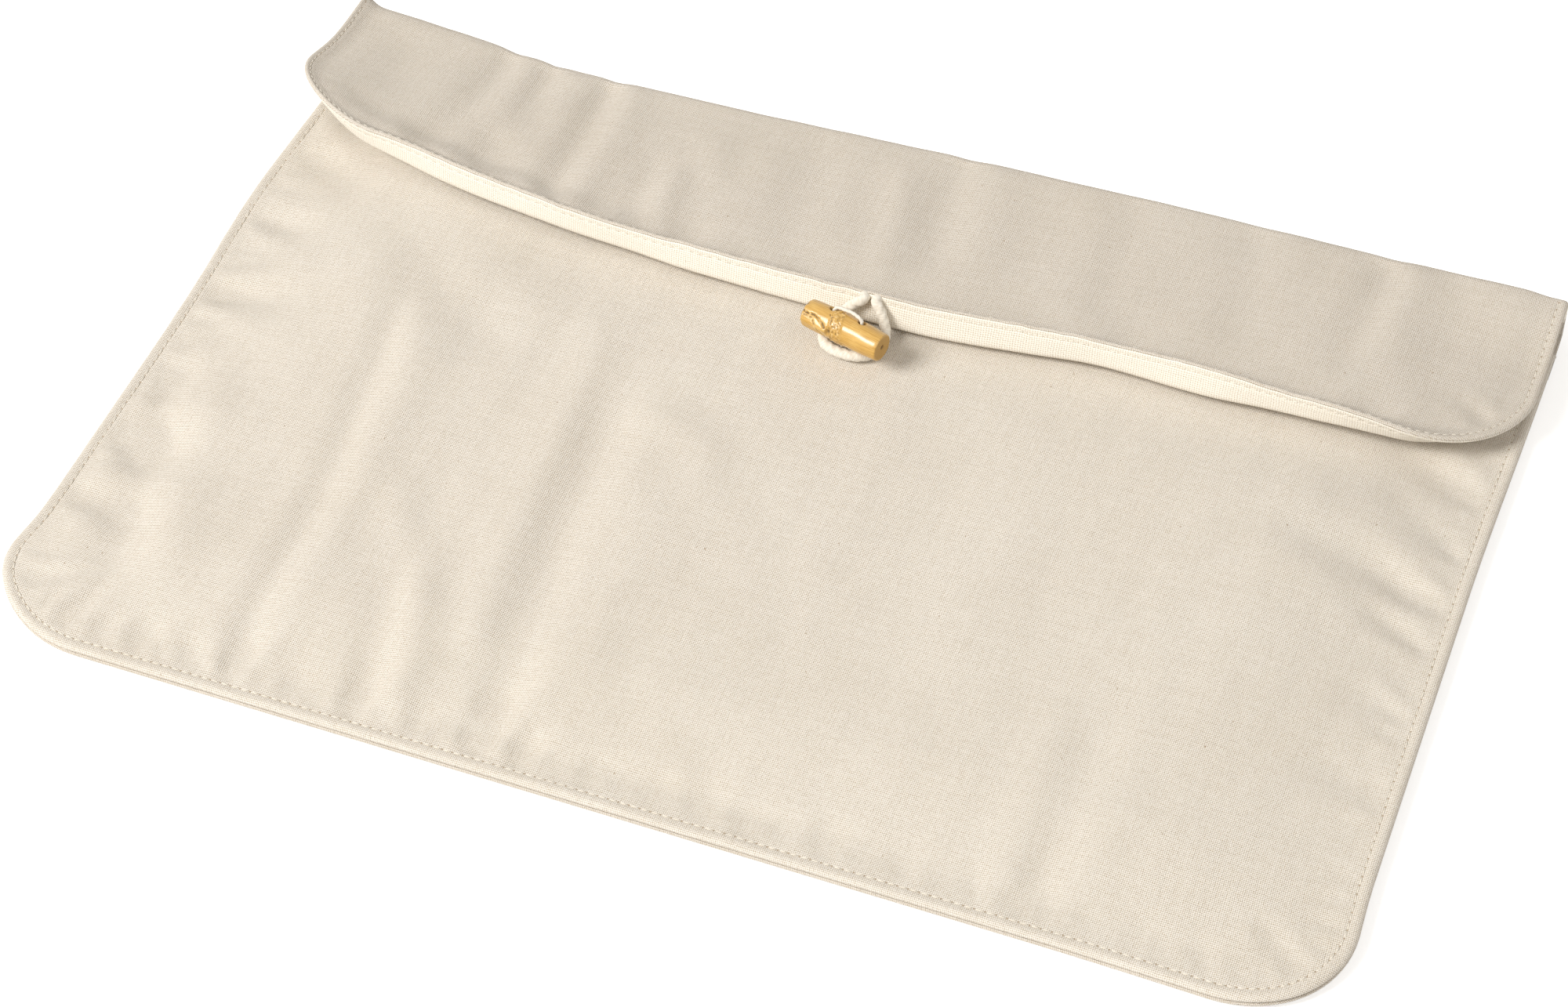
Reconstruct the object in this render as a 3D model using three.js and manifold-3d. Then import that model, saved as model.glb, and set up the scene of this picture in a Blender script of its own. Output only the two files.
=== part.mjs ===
// Padded cotton laptop pouch with a fold-over flap, a cord loop and a bamboo toggle.
// Millimetres, +Z up. The pouch lies on its back with the flap closed on top:
// X runs across the width, +Y points from the sewn bottom edge to the fold, and the
// origin is on the resting surface, at the middle of the outline.
import * as THREE from 'three';
import { mergeVertices } from 'three/addons/utils/BufferGeometryUtils.js';
import Module from 'manifold-3d';

const wasm = await Module();
wasm.setup();

// Outline of the closed pouch
const POUCH_WIDTH = 400;
const POUCH_DEPTH = 273;
const CORNER_RADIUS = 34;

// Layers of one wall: outer cloth, padding and lining, with a gap between them
const CLOTH = 0.7;
const PADDING = 2.2;
const LINING = 0.5;
const LAYER_GAP = 0.3;

// Pocket for the laptop
const POCKET_HEIGHT = 6;
const MOUTH_SETBACK = 8;
const MOUTH_HEM_WIDTH = 10;
const MOUTH_STITCH_INSET = 6;

// Sewn rim round the left, bottom and right edges
const RIM_WIDTH = 6;
const RIM_LIFT = 1.4;
const RIM_STITCH_INSET = 5;
const BACK_SHOULDER = 10;
const FRONT_SHOULDER = 24;

// Flap: its front edge curls up into a lip, and its sides droop over the shoulders of the pouch
const FLAP_WIDTH = 400;
const FLAP_DEPTH = 76.5;
const FLAP_CORNER_RADIUS = 34;
const FLAP_REST_GAP = 1;
const FLAP_DROOP = 4;
const FLAP_STITCH_INSET = 4;
const LIP_BEND = 2;
const LIP_TIP = 4.5;

// Sewing thread
const THREAD = 0.4;
const BARTACK_LENGTH = 9;
const BARTACK_WIDTH = 1.6;
const TACK_DIAMETER = 14;
const TACK_THICKNESS = 1.2;

// Cord loop
const LOOP_DIAMETER = 3.4;
const LOOP_SIDES = 8;
const LOOP_STEPS = 30;
const LOOP_TAIL_LENGTH = 2.2;

// Bamboo toggle, sewn on in front of the flap by a thread through two holes
const TOGGLE_LENGTH = 27;
const TOGGLE_NODE_DIAMETER = 10.4;
const TOGGLE_BODY_DIAMETER = 9.4;
const TOGGLE_END_DIAMETER = 8.6;
const TOGGLE_NODE_WIDTH = 2.6;
const TOGGLE_EDGE = 0.4;
const TOGGLE_X = 2;
const TOGGLE_REACH = 15.8;
const TOGGLE_YAW = THREE.MathUtils.degToRad(-15);
const TOGGLE_ROLL = THREE.MathUtils.degToRad(-18);
const TOGGLE_SIDES = 20;
const HOLE_SPACING = 10;
const FOOT_SPACING = 3;
const HOLE_DIAMETER = 2.2;
const TOGGLE_THREAD = 1.3;
const LEG_EASE = 1.8;
const THREAD_SIDES = 8;
const THREAD_STEPS = 44;

// Facets on each rounded corner, on the shoulders, on each bend of the fold and on the lip
const CORNER_STEPS = 6;
const SHOULDER_STEPS = 5;
const BEND_STEPS = 6;
const LIP_STEPS = 4;

// Levels and lines that follow from the sizes above
const WALL = CLOTH + LAYER_GAP + PADDING + LAYER_GAP + LINING;
const UNDER_CLOTH = WALL - CLOTH;
const frontTop = WALL + POCKET_HEIGHT + WALL;
const flapUnder = frontTop + FLAP_REST_GAP;
const flapTop = flapUnder + WALL;
const halfWidth = POUCH_WIDTH / 2;
const bottomEdge = -POUCH_DEPTH / 2;
const foldOuter = POUCH_DEPTH / 2;
const foldInner = foldOuter - WALL;
const mouthEdge = foldInner - MOUTH_SETBACK;
const backEnd = foldInner - LAYER_GAP;
const flapFront = foldOuter - FLAP_DEPTH;
const lipDepth = LIP_BEND + WALL;
const lipMidRadius = LIP_BEND + WALL / 2;
const lipLength = LIP_TIP + lipMidRadius * Math.PI / 2;
const lipTop = flapTop + LIP_BEND + LIP_TIP;
const shoulderEnd = RIM_WIDTH + FRONT_SHOULDER;
const toggleY = flapFront - TOGGLE_REACH;
const toggleHeight = LAYER_GAP + LOOP_DIAMETER + LAYER_GAP + TOGGLE_NODE_DIAMETER / 2;

// Rim stack: back cloth, turned-in seam allowance, front cloth just above the back lining
const rimAllowanceLow = RIM_LIFT + CLOTH + LAYER_GAP;
const rimFrontLow = WALL + LAYER_GAP;
const frontRise = frontTop - CLOTH - rimFrontLow;
// Distance from the edge at which the front padding and lining clear the back lining
const innerStart = RIM_WIDTH + FRONT_SHOULDER * Math.acos(1 - 2 * UNDER_CLOTH / frontRise) / Math.PI;

// Cord loop from the flap's lip, lying on the front cloth round the toggle's thread.
// Route points are given from the toggle's place: across, forwards and a height share,
// 0 on the front cloth and 1 at the flap's lip.
const loopRoute = [
  [1.1, 1, 1],
  [1.0, 0.87, 0.99],
  [-1.6, 0.8, 0.8],
  [-4.3, 0.72, 0.52],
  [-6.8, 0.58, 0.22],
  [-8.6, 0.36, 0.02],
  [-8.7, 0.12, 0],
  [-7.0, -0.07, 0],
  [-3.9, -0.19, 0],
  [0.2, -0.25, 0],
  [4.6, -0.265, 0],
  [8.6, -0.17, 0],
  [11.3, 0.07, 0],
  [11.8, 0.34, 0.02],
  [10.7, 0.58, 0.2],
  [8.9, 0.7, 0.48],
  [7.0, 0.79, 0.78],
  [5.2, 0.87, 0.99],
  [5.1, 1, 1],
];
const loopExitX = TOGGLE_X + (loopRoute[0][0] + loopRoute[loopRoute.length - 1][0]) / 2;

const canvas = { color: 0xe4dbcb, roughness: 0.95, metalness: 0 };
const liningCotton = { color: 0xf0ebe0, roughness: 0.95, metalness: 0 };
const batting = { color: 0xf4f2ec, roughness: 1, metalness: 0 };
const whiteThread = { color: 0xf3efe6, roughness: 0.8, metalness: 0 };
const cottonCord = { color: 0xeee7da, roughness: 0.9, metalness: 0 };
const bamboo = { color: 0xcfa564, roughness: 0.4, metalness: 0 };

function namedMesh(name, geometry, finish) {
  const mesh = new THREE.Mesh(geometry, new THREE.MeshStandardMaterial(finish));
  mesh.name = name;
  return mesh;
}

// Points along a U-shaped edge, from the far end of its left side round to the far end of
// its right side, each with the direction that points inwards.
function edgeStations(half, low, high, radius) {
  const stations = [{ x: -half, y: high, inX: 1, inY: 0 }];
  for (const side of [-1, 1]) {
    const startAngle = side < 0 ? Math.PI : 1.5 * Math.PI;
    for (let step = 0; step <= CORNER_STEPS; step++) {
      const angle = startAngle + (step / CORNER_STEPS) * Math.PI / 2;
      const outX = Math.cos(angle);
      const outY = Math.sin(angle);
      stations.push({
        x: side * (half - radius) + radius * outX,
        y: low + radius + radius * outY,
        inX: -outX,
        inY: -outY,
      });
    }
  }
  stations.push({ x: half, y: high, inX: -1, inY: 0 });
  return stations;
}

function insetPoint(station, distance) {
  return new THREE.Vector2(station.x + distance * station.inX, station.y + distance * station.inY);
}

// Flat plate bounded by an inset edge and the straight line between its two far ends
function plate(stations, inset, low, thickness) {
  const outline = new THREE.Shape(stations.map((station) => insetPoint(station, inset)));
  const geometry = new THREE.ExtrudeGeometry(outline, { depth: thickness, bevelEnabled: false });
  return geometry.translate(0, 0, low);
}

// Flat band that follows an edge between two insets
function edgeBand(stations, outerInset, innerInset, low, thickness) {
  const outer = stations.map((station) => insetPoint(station, outerInset));
  const inner = stations.map((station) => insetPoint(station, innerInset));
  const outline = new THREE.Shape([...outer, ...inner.reverse()]);
  const geometry = new THREE.ExtrudeGeometry(outline, { depth: thickness, bevelEnabled: false });
  return geometry.translate(0, 0, low);
}

// Row of stitches as one line of thread that follows an edge
function threadLine(stations, inset, low) {
  return edgeBand(stations, inset - THREAD / 2, inset + THREAD / 2, low, THREAD);
}

// Sheet between two faces, each giving the distance from the edge and the height at a station
// and a column. A filled sheet is flat past its last column, and a bare one ends there.
function sweptSheet(stations, columns, lowFace, topFace, filled) {
  const layerSize = stations.length * columns.length;
  const positions = [];
  for (const face of [lowFace, topFace]) {
    for (const station of stations) {
      for (const column of columns) {
        const [distance, height] = face(station, column);
        const point = insetPoint(station, distance);
        positions.push(point.x, point.y, height);
      }
    }
  }
  const low = (row, column) => row * columns.length + column;
  const top = (row, column) => layerSize + low(row, column);
  const triangles = [];
  const quad = (a, b, c, d) => triangles.push(a, b, c, a, c, d);
  const lastRow = stations.length - 1;
  const lastColumn = columns.length - 1;
  for (let row = 0; row < lastRow; row++) {
    for (let column = 0; column < lastColumn; column++) {
      quad(top(row, column), top(row + 1, column), top(row + 1, column + 1), top(row, column + 1));
      quad(low(row, column), low(row, column + 1), low(row + 1, column + 1), low(row + 1, column));
    }
    quad(low(row, 0), low(row + 1, 0), top(row + 1, 0), top(row, 0));
  }
  for (let column = 0; column < lastColumn; column++) {
    quad(low(0, column + 1), low(0, column), top(0, column), top(0, column + 1));
    quad(low(lastRow, column), low(lastRow, column + 1), top(lastRow, column + 1), top(lastRow, column));
  }
  if (filled) {
    const flat = stations.map((station) => insetPoint(station, lowFace(station, columns[lastColumn])[0]));
    for (const [a, b, c] of THREE.ShapeUtils.triangulateShape(flat, [])) {
      triangles.push(top(a, lastColumn), top(b, lastColumn), top(c, lastColumn));
      triangles.push(low(a, lastColumn), low(c, lastColumn), low(b, lastColumn));
    }
    quad(low(lastRow, lastColumn), low(0, lastColumn), top(0, lastColumn), top(lastRow, lastColumn));
  } else {
    for (let row = 0; row < lastRow; row++) {
      quad(low(row + 1, lastColumn), low(row, lastColumn), top(row, lastColumn), top(row + 1, lastColumn));
    }
  }
  const geometry = new THREE.BufferGeometry();
  geometry.setAttribute('position', new THREE.Float32BufferAttribute(positions, 3));
  geometry.setIndex(triangles);
  geometry.computeVertexNormals();
  return geometry;
}

// Sheet that follows a height profile from its edge inwards and is flat past the last distance
function domedSheet(stations, distances, underside, thickness) {
  const lowFace = (station, distance) => [distance, underside(distance)];
  const topFace = (station, distance) => [distance, underside(distance) + thickness];
  return sweptSheet(stations, distances, lowFace, topFace, true);
}

// Profile drawn in the Y-Z plane and run across the width, centred on X = 0
function runAcross(profile, width) {
  const geometry = new THREE.ExtrudeGeometry(profile, { depth: width, bevelEnabled: false });
  const acrossX = new THREE.Matrix4().makeBasis(
    new THREE.Vector3(0, 1, 0),
    new THREE.Vector3(0, 0, 1),
    new THREE.Vector3(1, 0, 0),
  );
  return geometry.applyMatrix4(acrossX).translate(-width / 2, 0, 0);
}

function boxBetween(lowCorner, highCorner) {
  const size = new THREE.Vector3().subVectors(highCorner, lowCorner);
  const centre = new THREE.Vector3().addVectors(lowCorner, highCorner).multiplyScalar(0.5);
  return new THREE.BoxGeometry(size.x, size.y, size.z).translate(centre.x, centre.y, centre.z);
}

function tube(path, diameter, sides, steps) {
  const ring = [];
  for (let side = 0; side < sides; side++) {
    const angle = (side / sides) * 2 * Math.PI;
    ring.push(new THREE.Vector2(Math.cos(angle), Math.sin(angle)).multiplyScalar(diameter / 2));
  }
  return new THREE.ExtrudeGeometry(new THREE.Shape(ring), { steps, bevelEnabled: false, extrudePath: path });
}

function toSolid(geometry) {
  const bare = geometry.clone();
  bare.deleteAttribute('normal');
  bare.deleteAttribute('uv');
  const merged = mergeVertices(bare);
  return new wasm.Manifold(new wasm.Mesh({
    numProp: 3,
    vertProperties: new Float32Array(merged.attributes.position.array),
    triVerts: new Uint32Array(merged.index.array),
  }));
}

function cut(geometry, cutters) {
  let solid = toSolid(geometry);
  for (const cutter of cutters) {
    solid = solid.subtract(toSolid(cutter));
  }
  const mesh = solid.getMesh();
  const result = new THREE.BufferGeometry();
  result.setAttribute('position', new THREE.BufferAttribute(new Float32Array(mesh.vertProperties), 3));
  result.setIndex(new THREE.BufferAttribute(new Uint32Array(mesh.triVerts), 1));
  result.computeVertexNormals();
  return result;
}

// Distances from the edge at which the sheets of the front wall and the flap are drawn
function shoulderDistances(start) {
  const distances = [];
  for (let step = 0; step <= SHOULDER_STEPS; step++) {
    distances.push(start + (shoulderEnd - start) * step / SHOULDER_STEPS);
  }
  return distances;
}

// Underside of the front cloth: flat on the rim, then a smooth shoulder up to the flat top
function frontClothUnder(distance) {
  const along = THREE.MathUtils.clamp((distance - RIM_WIDTH) / FRONT_SHOULDER, 0, 1);
  return rimFrontLow + frontRise * (1 - Math.cos(Math.PI * along)) / 2;
}

// Underside of the back cloth: flat on the resting surface, lifted at the rim
function backClothUnder(distance) {
  const along = THREE.MathUtils.clamp((distance - RIM_WIDTH) / BACK_SHOULDER, 0, 1);
  return RIM_LIFT * (1 + Math.cos(Math.PI * along)) / 2;
}

function buildBackWall() {
  const group = new THREE.Group();
  const edge = edgeStations(halfWidth, bottomEdge, backEnd, CORNER_RADIUS);
  const backFlat = RIM_WIDTH + BACK_SHOULDER;
  const rimToFlat = [0, RIM_WIDTH, RIM_WIDTH + BACK_SHOULDER / 2, backFlat];
  const paddingLow = CLOTH + LAYER_GAP;
  group.add(
    namedMesh('back_cloth', domedSheet(edge, rimToFlat, backClothUnder, CLOTH), canvas),
    namedMesh('back_padding', plate(edge, backFlat + LAYER_GAP, paddingLow, PADDING), batting),
    namedMesh('back_lining', plate(edge, RIM_WIDTH + LAYER_GAP, WALL - LINING, LINING), liningCotton),
  );
  return group;
}

// Disc behind the front cloth, under the feet of the toggle's thread, reaching down to a depth
// below the top of the padding and up to a rise above it
function tackDisc(diameter, depth, rise) {
  const paddingTop = frontTop - CLOTH - LAYER_GAP;
  const disc = new THREE.CylinderGeometry(diameter / 2, diameter / 2, depth + rise, TOGGLE_SIDES);
  return disc.rotateX(Math.PI / 2).translate(TOGGLE_X, toggleY, paddingTop + (rise - depth) / 2);
}

function buildFrontWall() {
  const group = new THREE.Group();
  const edge = edgeStations(halfWidth, bottomEdge, mouthEdge, CORNER_RADIUS);
  const hemEdge = edgeStations(halfWidth, bottomEdge, mouthEdge - MOUTH_HEM_WIDTH, CORNER_RADIUS);
  const innerDistances = shoulderDistances(innerStart);
  const clothDistances = [0, RIM_WIDTH, ...innerDistances];
  const paddingUnder = (distance) => frontClothUnder(distance) - LAYER_GAP - PADDING;
  const liningUnder = (distance) => frontClothUnder(distance) - UNDER_CLOTH;
  const paddingSheet = domedSheet(hemEdge, innerDistances, paddingUnder, PADDING);
  const tackPocket = tackDisc(TACK_DIAMETER + 2 * LAYER_GAP, TACK_THICKNESS + LAYER_GAP, PADDING);
  group.add(
    namedMesh('front_cloth', domedSheet(edge, clothDistances, frontClothUnder, CLOTH), canvas),
    namedMesh('front_padding', cut(paddingSheet, [tackPocket]), batting),
    namedMesh('front_lining', domedSheet(edge, innerDistances, liningUnder, LINING), liningCotton),
    namedMesh('toggle_tack', tackDisc(TACK_DIAMETER, TACK_THICKNESS, 0), whiteThread),
  );

  const flatHalf = halfWidth - shoulderEnd;
  const hemLow = frontTop - CLOTH - LAYER_GAP - PADDING;
  const hem = boxBetween(
    new THREE.Vector3(-flatHalf, mouthEdge - MOUTH_HEM_WIDTH + LAYER_GAP, hemLow),
    new THREE.Vector3(flatHalf, mouthEdge, hemLow + PADDING),
  );
  const stitchLow = frontTop + LAYER_GAP;
  const stitchY = mouthEdge - MOUTH_STITCH_INSET;
  const stitch = boxBetween(
    new THREE.Vector3(-flatHalf, stitchY - THREAD / 2, stitchLow),
    new THREE.Vector3(flatHalf, stitchY + THREAD / 2, stitchLow + THREAD),
  );
  group.add(
    namedMesh('mouth_seam_allowance', hem, canvas),
    namedMesh('mouth_topstitch', stitch, whiteThread),
  );
  return group;
}

// Turned-in seam allowance between the two cloths of the rim, and the two threads of its topstitch
function buildRim() {
  const group = new THREE.Group();
  const edge = edgeStations(halfWidth, bottomEdge, mouthEdge, CORNER_RADIUS);
  const allowance = rimFrontLow - LAYER_GAP - rimAllowanceLow;
  const turnedIn = edgeBand(edge, LAYER_GAP, RIM_WIDTH, rimAllowanceLow, allowance);
  const needleLow = rimFrontLow + CLOTH + LAYER_GAP;
  const bobbinLow = RIM_LIFT - LAYER_GAP - THREAD;
  group.add(
    namedMesh('rim_seam_allowance', turnedIn, canvas),
    namedMesh('rim_topstitch', threadLine(edge, RIM_STITCH_INSET, needleLow), whiteThread),
    namedMesh('rim_bobbin_thread', threadLine(edge, RIM_STITCH_INSET, bobbinLow), whiteThread),
  );
  return group;
}

// Strip that closes the mouth and turns on a fold line at its foot and another at its head.
// Each fold line lies on the inner face of the wall, where the lining creases.
function buildFold() {
  const group = new THREE.Group();
  const stripLow = WALL + LAYER_GAP;
  const stripHigh = flapUnder - LAYER_GAP;
  const layers = [
    { name: 'fold_lining', start: 0, thickness: LINING, finish: liningCotton },
    { name: 'fold_padding', start: LINING + LAYER_GAP, thickness: PADDING, finish: batting },
    { name: 'fold_cloth', start: UNDER_CLOTH, thickness: CLOTH, finish: canvas },
  ];
  for (const layer of layers) {
    const near = foldInner + layer.start;
    const strip = boxBetween(
      new THREE.Vector3(-FLAP_WIDTH / 2, near, stripLow),
      new THREE.Vector3(FLAP_WIDTH / 2, near + layer.thickness, stripHigh),
    );
    group.add(namedMesh(layer.name, strip, layer.finish));
  }
  return group;
}

// Outer cloth turning a quarter round a fold line, from one angle to the next
function clothBend(foldLineZ, startAngle) {
  const bend = new THREE.Shape();
  const outer = [];
  const inner = [];
  for (let step = 0; step <= BEND_STEPS; step++) {
    const angle = startAngle + (step / BEND_STEPS) * Math.PI / 2;
    const direction = new THREE.Vector2(Math.cos(angle), Math.sin(angle));
    const foldLine = new THREE.Vector2(foldInner, foldLineZ);
    outer.push(foldLine.clone().addScaledVector(direction, WALL));
    inner.push(foldLine.clone().addScaledVector(direction, UNDER_CLOTH));
  }
  bend.setFromPoints([...outer, ...inner.reverse()]);
  return runAcross(bend, FLAP_WIDTH);
}

// Column of the flap's sheets in its lip, at a distance from the edge along the flap. It has its
// turn out of the flat in the full lip, its rise above the end of the turn, and where the turn ends.
function lipColumn(distance) {
  const angle = Math.PI / 2 - Math.max(distance - LIP_TIP, 0) / lipMidRadius;
  return { distance, angle, rise: Math.max(LIP_TIP - distance, 0), base: lipDepth };
}

function lipColumns() {
  const columns = [lipColumn(0)];
  for (let step = 0; step <= LIP_STEPS; step++) {
    columns.push(lipColumn(LIP_TIP + (lipLength - LIP_TIP) * step / LIP_STEPS));
  }
  return columns;
}

// Columns of the flap's sheets over the drooping shoulder
function droopColumns(start) {
  return shoulderDistances(start).map((distance) => ({ distance, angle: 0, rise: 0, base: distance }));
}

// Place on the flap at a depth under its outer face. The lip is full along the front, and fades out
// round the corners, where the droop of the sides begins.
function flapPoint(station, column, depth) {
  const lipShare = station.inY;
  const radius = LIP_BEND + depth;
  const curledDistance = column.base - radius * Math.sin(column.angle);
  const curledLevel = flapTop + LIP_BEND - radius * Math.cos(column.angle) + column.rise;
  const distance = THREE.MathUtils.lerp(column.distance, curledDistance, lipShare);
  const level = THREE.MathUtils.lerp(flapTop - depth, curledLevel, lipShare);
  const sideShare = station.y < backEnd ? 1 - lipShare : 0;
  const overShoulder = Math.cos(Math.PI * Math.min(distance / shoulderEnd, 1));
  return [distance, level - sideShare * FLAP_DROOP * (1 + overShoulder) / 2];
}

function flapLayer(stations, columns, depth, thickness, filled) {
  const lowFace = (station, column) => flapPoint(station, column, depth + thickness);
  const topFace = (station, column) => flapPoint(station, column, depth);
  return sweptSheet(stations, columns, lowFace, topFace, filled);
}

// Row of stitches round the flap, lying on the face at a depth under its outer face
function flapThread(stations, depth) {
  const columns = [lipColumn(FLAP_STITCH_INSET - THREAD / 2), lipColumn(FLAP_STITCH_INSET + THREAD / 2)];
  return flapLayer(stations, columns, depth, THREAD, false);
}

// Flattened ends of the loop cord, sewn down side by side inside the lip
function cordTail(extra) {
  const strandSpacing = loopRoute[loopRoute.length - 1][0] - loopRoute[0][0];
  const halfSpan = (strandSpacing + LOOP_DIAMETER) / 2 + extra;
  const nearY = flapFront + LINING + LAYER_GAP;
  const highZ = lipTop - LAYER_GAP;
  return boxBetween(
    new THREE.Vector3(loopExitX - halfSpan, nearY - extra, highZ - LOOP_TAIL_LENGTH - extra),
    new THREE.Vector3(loopExitX + halfSpan, nearY + PADDING + extra, highZ + LAYER_GAP + extra),
  );
}

function buildFlap() {
  const group = new THREE.Group();
  const edge = edgeStations(FLAP_WIDTH / 2, flapFront, backEnd, FLAP_CORNER_RADIUS);
  const lip = lipColumns();
  const wholeFlap = [...lip, ...droopColumns(lipLength).slice(1)];
  const insideLip = droopColumns(lipLength + LAYER_GAP);
  const fillDepth = CLOTH + LAYER_GAP;
  const hem = flapLayer(edge, lip, fillDepth, PADDING, false);
  group.add(
    namedMesh('flap_lining', flapLayer(edge, wholeFlap, WALL - LINING, LINING, true), liningCotton),
    namedMesh('flap_padding', flapLayer(edge, insideLip, fillDepth, PADDING, true), batting),
    namedMesh('flap_seam_allowance', cut(hem, [cordTail(LAYER_GAP)]), canvas),
    namedMesh('loop_tail', cordTail(0), cottonCord),
    namedMesh('flap_cloth', flapLayer(edge, wholeFlap, 0, CLOTH, true), canvas),
    namedMesh('flap_topstitch', flapThread(edge, -LAYER_GAP - THREAD), whiteThread),
    namedMesh('flap_bobbin_thread', flapThread(edge, WALL + LAYER_GAP), whiteThread),
  );
  return group;
}

function buildLoop() {
  const lyingZ = frontTop + LAYER_GAP + LOOP_DIAMETER / 2;
  const exitZ = lipTop - LOOP_DIAMETER / 2;
  const reach = TOGGLE_REACH - LAYER_GAP;
  const points = loopRoute.map(([across, forward, height]) => new THREE.Vector3(
    TOGGLE_X + across,
    toggleY + forward * reach,
    THREE.MathUtils.lerp(lyingZ, exitZ, height),
  ));
  const path = new THREE.CatmullRomCurve3(points);
  return namedMesh('loop_cord', tube(path, LOOP_DIAMETER, LOOP_SIDES, LOOP_STEPS), cottonCord);
}

function buildBartack() {
  const nearY = flapFront + (WALL - BARTACK_WIDTH) / 2;
  const low = lipTop + LAYER_GAP;
  const bar = boxBetween(
    new THREE.Vector3(loopExitX - BARTACK_LENGTH / 2, nearY, low),
    new THREE.Vector3(loopExitX + BARTACK_LENGTH / 2, nearY + BARTACK_WIDTH, low + THREAD),
  );
  return namedMesh('loop_bartack', bar, whiteThread);
}

// Toggle turned about its own length, with the swollen bamboo node at its middle
function toggleBody() {
  const half = TOGGLE_LENGTH / 2;
  const endRadius = TOGGLE_END_DIAMETER / 2;
  const nodeHalf = TOGGLE_NODE_WIDTH / 2;
  const side = [
    [endRadius - TOGGLE_EDGE, half],
    [endRadius, half - TOGGLE_EDGE],
    [TOGGLE_BODY_DIAMETER / 2, 2 * nodeHalf],
    [TOGGLE_NODE_DIAMETER / 2, nodeHalf],
  ];
  const lowerSide = side.map(([radius, along]) => new THREE.Vector2(radius, -along));
  const upperSide = side.map(([radius, along]) => new THREE.Vector2(radius, along)).reverse();
  const profile = [new THREE.Vector2(0, -half), ...lowerSide, ...upperSide, new THREE.Vector2(0, half)];
  const body = new THREE.LatheGeometry(profile, TOGGLE_SIDES).rotateZ(-Math.PI / 2);
  const holes = [-1, 1].map((end) => new THREE.CylinderGeometry(
    HOLE_DIAMETER / 2,
    HOLE_DIAMETER / 2,
    2 * TOGGLE_NODE_DIAMETER,
    THREAD_SIDES,
  ).rotateX(Math.PI / 2).translate(end * HOLE_SPACING / 2, 0, 0));
  return cut(body, holes);
}

// Thread across the top of the toggle, down both holes and on to the front cloth under its middle
function toggleThread() {
  const legX = HOLE_SPACING / 2;
  const bend = TOGGLE_THREAD;
  const bridgeZ = TOGGLE_NODE_DIAMETER / 2 + LAYER_GAP + TOGGLE_THREAD / 2;
  const holeEnd = -TOGGLE_BODY_DIAMETER / 2;
  const upright = new THREE.Vector3(0, Math.sin(TOGGLE_ROLL), Math.cos(TOGGLE_ROLL));
  const at = (x, z) => new THREE.Vector3(x, 0, z);
  const onUpright = (x, height) => upright.clone().multiplyScalar(height).setX(x);
  const foot = LAYER_GAP - toggleHeight;
  const legTop = bridgeZ - bend;
  const bridgeEnd = legX - bend;
  const legBelow = (side) => new THREE.CubicBezierCurve3(
    onUpright(side * FOOT_SPACING / 2, foot),
    onUpright(side * FOOT_SPACING / 2, foot + LEG_EASE),
    at(side * legX, holeEnd - LEG_EASE / 4),
    at(side * legX, holeEnd),
  );
  const rightLeg = legBelow(1);
  const path = new THREE.CurvePath();
  path.add(legBelow(-1));
  path.add(new THREE.LineCurve3(at(-legX, holeEnd), at(-legX, legTop)));
  path.add(new THREE.QuadraticBezierCurve3(at(-legX, legTop), at(-legX, bridgeZ), at(-bridgeEnd, bridgeZ)));
  path.add(new THREE.LineCurve3(at(-bridgeEnd, bridgeZ), at(bridgeEnd, bridgeZ)));
  path.add(new THREE.QuadraticBezierCurve3(at(bridgeEnd, bridgeZ), at(legX, bridgeZ), at(legX, legTop)));
  path.add(new THREE.LineCurve3(at(legX, legTop), at(legX, holeEnd)));
  path.add(new THREE.CubicBezierCurve3(rightLeg.v3, rightLeg.v2, rightLeg.v1, rightLeg.v0));
  return tube(path, TOGGLE_THREAD, THREAD_SIDES, THREAD_STEPS);
}

function buildToggle() {
  const group = new THREE.Group();
  group.position.set(TOGGLE_X, toggleY, frontTop + toggleHeight);
  group.rotation.z = TOGGLE_YAW;
  const rolled = new THREE.Group();
  rolled.rotation.x = TOGGLE_ROLL;
  rolled.add(
    namedMesh('toggle', toggleBody(), bamboo),
    namedMesh('toggle_thread', toggleThread(), whiteThread),
  );
  group.add(rolled);
  return group;
}

const pouch = new THREE.Group();
pouch.add(
  buildBackWall(),
  buildFrontWall(),
  buildRim(),
  buildFold(),
  namedMesh('fold_lower_bend', clothBend(WALL, -Math.PI / 2), canvas),
  namedMesh('fold_upper_bend', clothBend(flapUnder, 0), canvas),
  buildFlap(),
  buildBartack(),
  buildLoop(),
  buildToggle(),
);

export default pouch;
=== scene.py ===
from bisect import bisect_right
from math import atan2, ceil, cos, exp, hypot, pi, radians, sin, sqrt, tau
from random import Random

import bmesh
import bpy
from mathutils import Matrix, Vector, noise


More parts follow.
